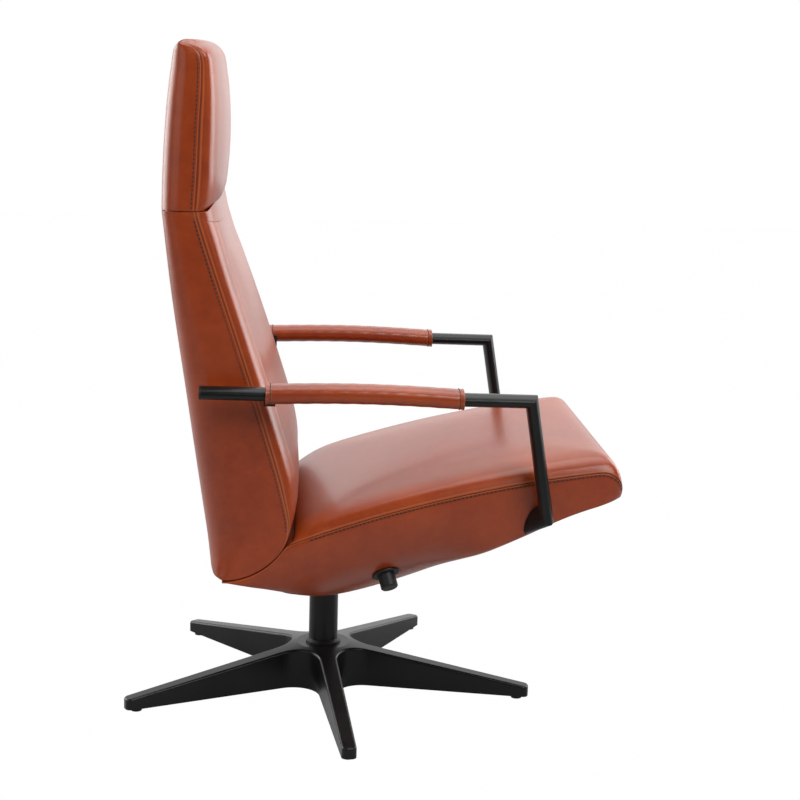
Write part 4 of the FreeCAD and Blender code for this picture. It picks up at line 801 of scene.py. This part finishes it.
neck = {"rollRear": 0.0012, "rollSteps": 260, "lip": 0.0130, "lipFrom": 0.198, "lipOver": 0.016, "crowd": 0.7,
        "gussetInset": 0.006, "gussetReach": 0.012, "gussetCorner": 0.016, "gussetFront": 0.004}


# front part of a ring with its seam values, from one side round the front to the other, spread along itself
# and crowded towards both ends by a sine
def neckFront(made):
    ring = np.concatenate([made[0], made[1][:, None]], axis=1)
    ring = ring[ring[:, 1] < back["neck"][0] - neck["rollRear"]]
    ring = ring[np.argsort(-np.arctan2(ring[:, 0], 0.30 - ring[:, 1]))]
    run = runAlong(ring)
    even = np.linspace(0.0, 1.0, neck["rollSteps"])
    even = run[-1] * (even - neck["crowd"] * np.sin(2.0 * math.pi * even) / (2.0 * math.pi))
    return readAt(even, run, ring)


# wedge of padding between the back's top and the head's foot: each ring lies between the back's own outline
# at the notch and the same outline carried up to the head, with a low lip along the front
def makeNeckRoll():
    low, high = (neckFront(panelRing(backShape, back["top"], tilt, 0.0)) for tilt in (backTilt, noTilt))
    high[:, 2] += neck["lip"] * smoothStep((neck["lipFrom"] - high[:, 1]) / neck["lipOver"]) - 0.0002
    low[:, 2] -= 0.0004   # bedded in the back's top
    rings = low + betweenEdges(1.0, 0.015, 0.09)[:, None, None] * (high - low)
    flat = np.ones(rings.shape[:2])
    return skin("neckRoll", rings[:, :, :3], rings[:, :, 3], 0.15 * flat, 0.0 * flat)


# leather gusset behind the neck, inside the outline of both panels: a flat loop carried upwards
def makeNeckGusset():
    inset, reach = neck["gussetInset"], neck["gussetReach"]
    half = back["neckHalf"] - inset
    bend = quarter(10)
    corner = neck["gussetCorner"]
    rear, front = back["rear"][-1][1] - inset, back["neck"][0] - neck["gussetFront"]
    x = np.concatenate([np.linspace(0.004, half - corner, 24)[:-1], half - corner + corner * np.sin(bend),
                        [half], np.linspace(half, 0.004, 24)])
    y = np.concatenate([np.full(23, rear), rear - corner * (1.0 - np.cos(bend)),
                        [0.5 * (rear - corner + front)], np.full(24, front)])
    loop = np.stack([np.concatenate([x, -x[::-1]]), np.concatenate([y, y[::-1]])], axis=-1)
    heights = back["neck"][1] + np.linspace(-reach, reach, 13)
    rings = np.concatenate([np.repeat(loop[None], 13, axis=0),
                            np.repeat(heights[:, None, None], len(loop), axis=1)], axis=-1)
    dull = np.zeros(rings.shape[:2])
    # a seam value of 0.5 gives it all over the painted highlight of a seam's rim
    return skin("neckGusset", rings, dull + 0.5, dull, dull)


sleeve = {
    "rear": 0.103, "front": -0.201, "x": 0.2985,
    "tubeRear": (0.204, 0.573), "tubeFront": (-0.307, 0.5655), "tube": (0.0203, 0.0106),
    "half": (0.0250, 0.0150), "square": 2.35, "lift": 0.0005, "bow": 0.0042,
    "flare": 0.0009, "flareOver": 0.004,
    "band": 0.0085, "bandDepth": 0.0007, "bandWidth": 0.0016,   # stitched band at each end
    "seamDepth": 0.0011, "wrinkle": 0.00025,
}


# flat oval of a sleeve or its tube: a super-ellipse of these half sizes
def ovalLoop(halfX, halfZ, power, turn):
    across = np.sign(np.cos(turn)) * np.abs(np.cos(turn)) ** (2.0 / power)
    upward = np.sign(np.sin(turn)) * np.abs(np.sin(turn)) ** (2.0 / power)
    return halfX * across, halfZ * upward


# sewn sleeve: an oval carried along the tube and bowed upwards, flared at its cut ends, drawn in at a
# band of stitches near each end and along a seam below; the inside comes back along the tube
def sleeveRings(side):
    length = sleeve["rear"] - sleeve["front"]
    along = betweenEdges(length, 0.0006, 0.0060)[:, None]
    turn = turns(72)
    share = along / length
    fromEnd = np.minimum(along, length - along)
    band = bell(fromEnd - sleeve["band"], sleeve["bandWidth"])
    seamBelow = sleeve["seamDepth"] * bell((turn - 1.5 * math.pi) * 0.6, 0.05)
    wrinkle = sleeve["wrinkle"] * np.sin(3.0 * turn + 21.0 * share * math.pi) * smoothStep(fromEnd / 0.04)
    flare = sleeve["flare"] * np.exp(-fromEnd / sleeve["flareOver"])
    grow = flare - sleeve["bandDepth"] * band - seamBelow + wrinkle
    bow = sleeve["lift"] + sleeve["bow"] * np.sin(share * math.pi)
    halfX, halfZ = sleeve["half"]
    across, upward = ovalLoop(halfX + grow, halfZ + grow, sleeve["square"], turn)
    (rearY, rearZ), (frontY, frontZ) = sleeve["tubeRear"], sleeve["tubeFront"]
    y = sleeve["rear"] - along
    tubeZ = frontZ + (rearZ - frontZ) / (rearY - frontY) * (y - frontY)
    outer = np.stack([across, y + 0.0 * across, tubeZ + bow + upward], axis=-1)
    inX, inZ = ovalLoop(*sleeve["tube"], 2.0, turn)
    inner = np.stack([inX + 0.0 * along, y + 0.0 * inX, tubeZ + inZ], axis=-1)[::-1]
    rings = np.concatenate([outer, inner])
    rings[:, :, 0] += side * sleeve["x"]
    # seam values: the stitched bands, the cut ends and the seam below get the painted highlight of a seam's
    # rim, and its painted shade where band and seam below add up
    near = 0.7 * band + 0.5 * bell(fromEnd, 0.0012) + seamBelow / 0.0016
    # paler along the top, away from the ends
    sheenAndWear = 0.25 + 0.35 * np.clip(np.sin(turn), 0.0, 1.0) * smoothStep(fromEnd / 0.03)
    inside = np.zeros_like(sheenAndWear)
    values = [np.concatenate([grid, inside]) for grid in (near, sheenAndWear, inside)]
    return rings, values, len(outer)


stitch = {"step": 0.0066, "length": 0.0040, "thick": 0.00090, "proud": 0.35, "dive": 0.000855, "sides": 6,
          "hole": (0.00185, 0.00150, 0.00030), "beside": 0.0055, "bed": 0.0002, "belowSeam": 0.0048,
          "seatEnd": 0.040, "seatCorner": 0.7, "backRow": (0.345, 0.8350, 90),
          "headRow": (0.848, 1.0945, 120)}   # rows: lowest, highest and steps


# short sewn stitch: a thread of six sides whose ends dive into the leather; x along, y across, z out
def threadShape():
    share = np.linspace(-1.0, 1.0, 5)[:, None]
    turn = turns(stitch["sides"])
    thick = stitch["thick"] * np.sqrt(np.clip(1.06 - share ** 4, 0.0, None))
    rise = stitch["thick"] * stitch["proud"] - stitch["dive"] * share ** 4
    x = 0.5 * stitch["length"] * share + 0.0 * turn
    return np.stack([x, thick * np.cos(turn), rise + thick * np.sin(turn)], axis=-1)


# painted shade of a needle hole between two stitches: a low dark dimple, an ellipse drawn in over three
# levels
def holeShadeShape():
    level = np.array((1.0, 0.8, 0.3))[:, None]
    turn = turns(stitch["sides"])
    along, across, rise = stitch["hole"]
    return np.stack([along * level * np.cos(turn), across * level * np.sin(turn),
                     rise * np.sqrt(1.0 - level ** 2) + 0.0 * turn - 0.00003], axis=-1)


# row of shapes along a path: even steps of arc length, each one set on the path's own axes
def sewnRow(path, normals, shape, shift):
    run = runAlong(path)
    count = int(run[-1] / stitch["step"])
    even = (np.arange(count) + shift) * run[-1] / count
    centre = readAt(even, run, path)
    ahead = readAt(even + 0.001, run, path) - readAt(even - 0.001, run, path)
    ahead /= np.linalg.norm(ahead, axis=1, keepdims=True)
    out = readAt(even, run, normals)
    out -= ahead * np.sum(out * ahead, axis=1, keepdims=True)
    out /= np.linalg.norm(out, axis=1, keepdims=True)
    axes = np.stack([ahead, np.cross(out, ahead), out], axis=1)
    return centre[:, None, None, :] + np.einsum("rsk,nkj->nrsj", shape, axes)


# all rows of one body as one mesh: tubes of quads, closed by their end loops
def sewn(name, lines, shape, shift, finish):
    points = np.concatenate([sewnRow(path, normals, shape, shift) for path, normals in lines])
    count, rings, sides = points.shape[:3]
    index = np.arange(count * rings * sides).reshape(count, rings, sides)
    walls = gridFaces(index[:, :-1].reshape(-1, sides), index[:, 1:].reshape(-1, sides))
    caps = np.concatenate([index[:, 0, ::-1], index[:, -1]])
    capQuads = np.concatenate([caps[:, [0, 1, 2, 3]], caps[:, [0, 3, 4, 5]]])
    print(name, count, "times")
    return meshFrom(name, points.reshape(-1, 3), np.concatenate([walls, capQuads]), finish)


# seat rows: along the belly a little below the seam, on both sides as far as the nose corners
def seatRows():
    rings, depth = bellyRings()
    planX, planY = bellyPlan()
    below = int(np.argmin(np.abs(depth[:, len(planX) // 4] - stitch["belowSeam"])))
    along = np.gradient(rings[below], axis=0)
    down = rings[below + 1] - rings[below - 1]
    out = np.cross(down, along)
    facing = np.sign(np.sum(out * (rings[below] - rings[below].mean(axis=0)), axis=1, keepdims=True))
    inset = stitch["seatCorner"] * seat["corner"]
    held = (planY < stitch["seatEnd"]) & (np.abs(planX) > seat["half"] - inset)
    sides = (np.flatnonzero(held & (planX > 0.0)), np.flatnonzero(held & (planX < 0.0)))
    return [(rings[below][used], (out * facing)[used]) for used in sides]


# panel rows: beside the side seam on both sides, set off square to it towards the rear
def panelRows(row, shape):
    heights, off = np.linspace(*row), stitch["beside"]
    half = np.array([shape(z)[0] for z in heights])
    seamY = np.array([shape(z)[2] for z in heights])
    alongY, alongZ = np.gradient(seamY), np.gradient(heights)
    size = np.hypot(alongY, alongZ)
    y = seamY + off * alongZ / size
    z = heights - off * alongY / size
    rows = []
    for side in (1.0, -1.0):
        path = np.stack([side * (half - stitch["bed"]), y, z], axis=-1)
        rows.append((path, np.tile((side, 0.0, 0.0), (len(path), 1))))
    return rows


# sleeve rows: the loop of the outside at each end's band, facing away from its own middle
def sleeveRows(rings, outerCount):
    outer = rings[:outerCount]
    fromEnd = outer[0, 0, 1] - outer[:, 0, 1]
    rows = []
    for place in (sleeve["band"], fromEnd[-1] - sleeve["band"]):
        loop = outer[int(np.argmin(np.abs(fromEnd - place)))]
        loop = np.concatenate([loop, loop[:1]])
        rows.append((loop, loop - loop[:-1].mean(axis=0)))
    return rows


# finishes a leather piece: swells and smooths it, sets it on its body and hides the part it replaces
def dress(piece, node, body):
    swell(piece, clothRun)
    smooth = piece.modifiers.new("smooth", "SUBSURF")
    smooth.levels = smooth.render_levels = 1
    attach(piece, body)
    if node:
        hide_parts(node)
    print(piece.name, len(piece.data.polygons), "faces")


dress(makeSeatPad(), "seat_cushion", "seat")
dress(makeSeatBelly(), "seat_shell", "seat")
dress(makePanelPiece("backCushion", back, backShape, backTilt, 1.0), "back_cushion", "back")
dress(makePanelPiece("headCushion", head, headShape, noTilt, 0.0), "head_cushion", "head")
neckRoll = makeNeckRoll()
dress(neckRoll, None, "back")
neckGusset = makeNeckGusset()
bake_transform(neckGusset)
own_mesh(neckRoll)
sleeveStitches = []
for side, hand in ((1.0, "left"), (-1.0, "right")):
    rings, values, outerCount = sleeveRings(side)
    dress(hollowSkin("sleeve" + hand.title(), rings, *values), "arm_sleeve_" + hand, "seat")
    sleeveStitches += sleeveRows(rings, outerCount)
seams = {"seatStitches": ("seat", seatRows() + sleeveStitches),
         "backStitches": ("back", panelRows(stitch["backRow"], backShape)),
         "headStitches": ("head", panelRows(stitch["headRow"], headShape))}
for name, (body, lines) in seams.items():
    # threads, then the painted shade of their needle holes
    for piece in (sewn(name, lines, threadShape(), 0.5, threadFinish),
                  sewn(name.replace("Stitches", "NeedleHoleShades"), lines, holeShadeShape(), 0.0, holeShadeFinish)):
        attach(piece, body)


photoView = {"place": (-2.9196, 0.0822, 1.0781), "yaw": 4.04, "pitch": 11.04, "roll": 1.52,
             "focalPixels": 1743.1, "photoWidth": 800.0}


# forward from yaw and pitch; the picture's right and up turned about it by the roll
def addCamera(view):
    yaw, pitch, roll = (math.radians(view[key]) for key in ("yaw", "pitch", "roll"))
    forward = Vector((math.cos(pitch) * math.cos(yaw), -math.cos(pitch) * math.sin(yaw), -math.sin(pitch)))
    right = forward.cross(Vector((0, 0, 1))).normalized()
    up = right.cross(forward)
    turnedRight = right * math.cos(roll) + up * math.sin(roll)
    turnedUp = up * math.cos(roll) - right * math.sin(roll)
    lens = bpy.data.cameras.new("photoCamera")
    lens.sensor_width = 36.0
    lens.lens = view["focalPixels"] * lens.sensor_width / view["photoWidth"]
    camera = toScene("photoCamera", lens)
    camera.matrix_world = Matrix((turnedRight, turnedUp, -forward)).transposed().to_4x4()
    camera.location = view["place"]
    bpy.context.scene.camera = camera


studio = {"floorHalf": 9.0, "floorShade": (0.45, 0.45, 0.45, 1.0), "white": (1.0, 1.0, 1.0, 1.0),
          "floorSeen": 0.994, "floorGlossy": 0.32,   # share of white for the camera and for reflections
          "around": 0.08, "farSide": 0.38, "farGlossy": 0.80, "farRange": (-0.15, 0.55)}


# wires of 1 for a ray from the camera and for a reflected ray
def rays(tree):
    camera = Wire(tree, tree.nodes.new("ShaderNodeLightPath").outputs["Is Camera Ray"])
    return camera, camera.node("LightPath", out="Is Glossy Ray")


# pale floor: seen by camera and reflections as white with the shadow still in it
def addFloor():
    half = studio["floorHalf"]
    corners = np.array([(-half, -half, 0.0), (half, -half, 0.0), (half, half, 0.0), (-half, half, 0.0)])
    finish = bpy.data.materials.new("paleFloor")
    finish.use_nodes = True
    tree = finish.node_tree
    tree.nodes.clear()
    start, glossy = rays(tree)
    diffuse = start.node("BsdfDiffuse", {}, {"Color": studio["floorShade"]})
    glow = start.node("Emission", {}, {"Color": studio["white"], "Strength": 1.0})
    seen = start * studio["floorSeen"] + glossy * studio["floorGlossy"]
    mixed = start.node("MixShader", {}, {0: seen, 1: diffuse, 2: glow})
    feed(tree.nodes.new("ShaderNodeOutputMaterial"), {"Surface": mixed})
    floor = meshFrom("floor", corners, np.array([(0, 1, 2, 3)]), finish)


# white world: full white for the camera; its light is weak, and rises towards +X, more so in reflections
def addWorld():
    world = bpy.data.worlds.new("studioWorld")
    bpy.context.scene.world = world
    world.use_nodes = True
    tree = world.node_tree
    sky = next(node for node in tree.nodes if node.type == "BACKGROUND")
    start, glossy = rays(tree)
    way = start.node("SeparateXYZ", {}, {0: start.node("TexCoord", out="Generated")})
    farSide = way.share(*studio["farRange"]) * (studio["farSide"] + glossy * studio["farGlossy"])
    strength = start + (1.0 - start) * (studio["around"] + farSide)
    feed(sky, {"Color": studio["white"], "Strength": strength})


lamps = {   # place, aim, size and power
    "keyPanel": ((-2.5, -1.6, 3.2), (0.0, 0.1, 0.7), 2.2, 132.0),
    "fillPanel": ((-2.4, 2.6, 1.8), (0.0, 0.1, 0.5), 2.4, 26.0),
    "topPanel": ((0.6, -0.6, 3.6), (0.0, 0.0, 0.4), 2.6, 60.0),
    "rearRim": ((1.1, 2.7, 1.3), (0.0, 0.2, 0.6), 2.2, 85.0),
    "frontRim": ((1.5, -2.6, 1.5), (0.0, 0.1, 0.6), 2.2, 60.0),
}


# square area lamps, each turned to its aim
def addLamps():
    for name, (spot, aim, size, power) in lamps.items():
        light = bpy.data.lights.new(name, "AREA")
        light.size = size
        light.energy = power
        holder = toScene(name, light)
        holder.location = spot
        holder.rotation_euler = (Vector(aim) - Vector(spot)).to_track_quat("-Z", "Y").to_euler()


addCamera(photoView)
addFloor()
addWorld()
addLamps()
bpy.context.scene.view_settings.view_transform = "Standard"
print("studio ready")
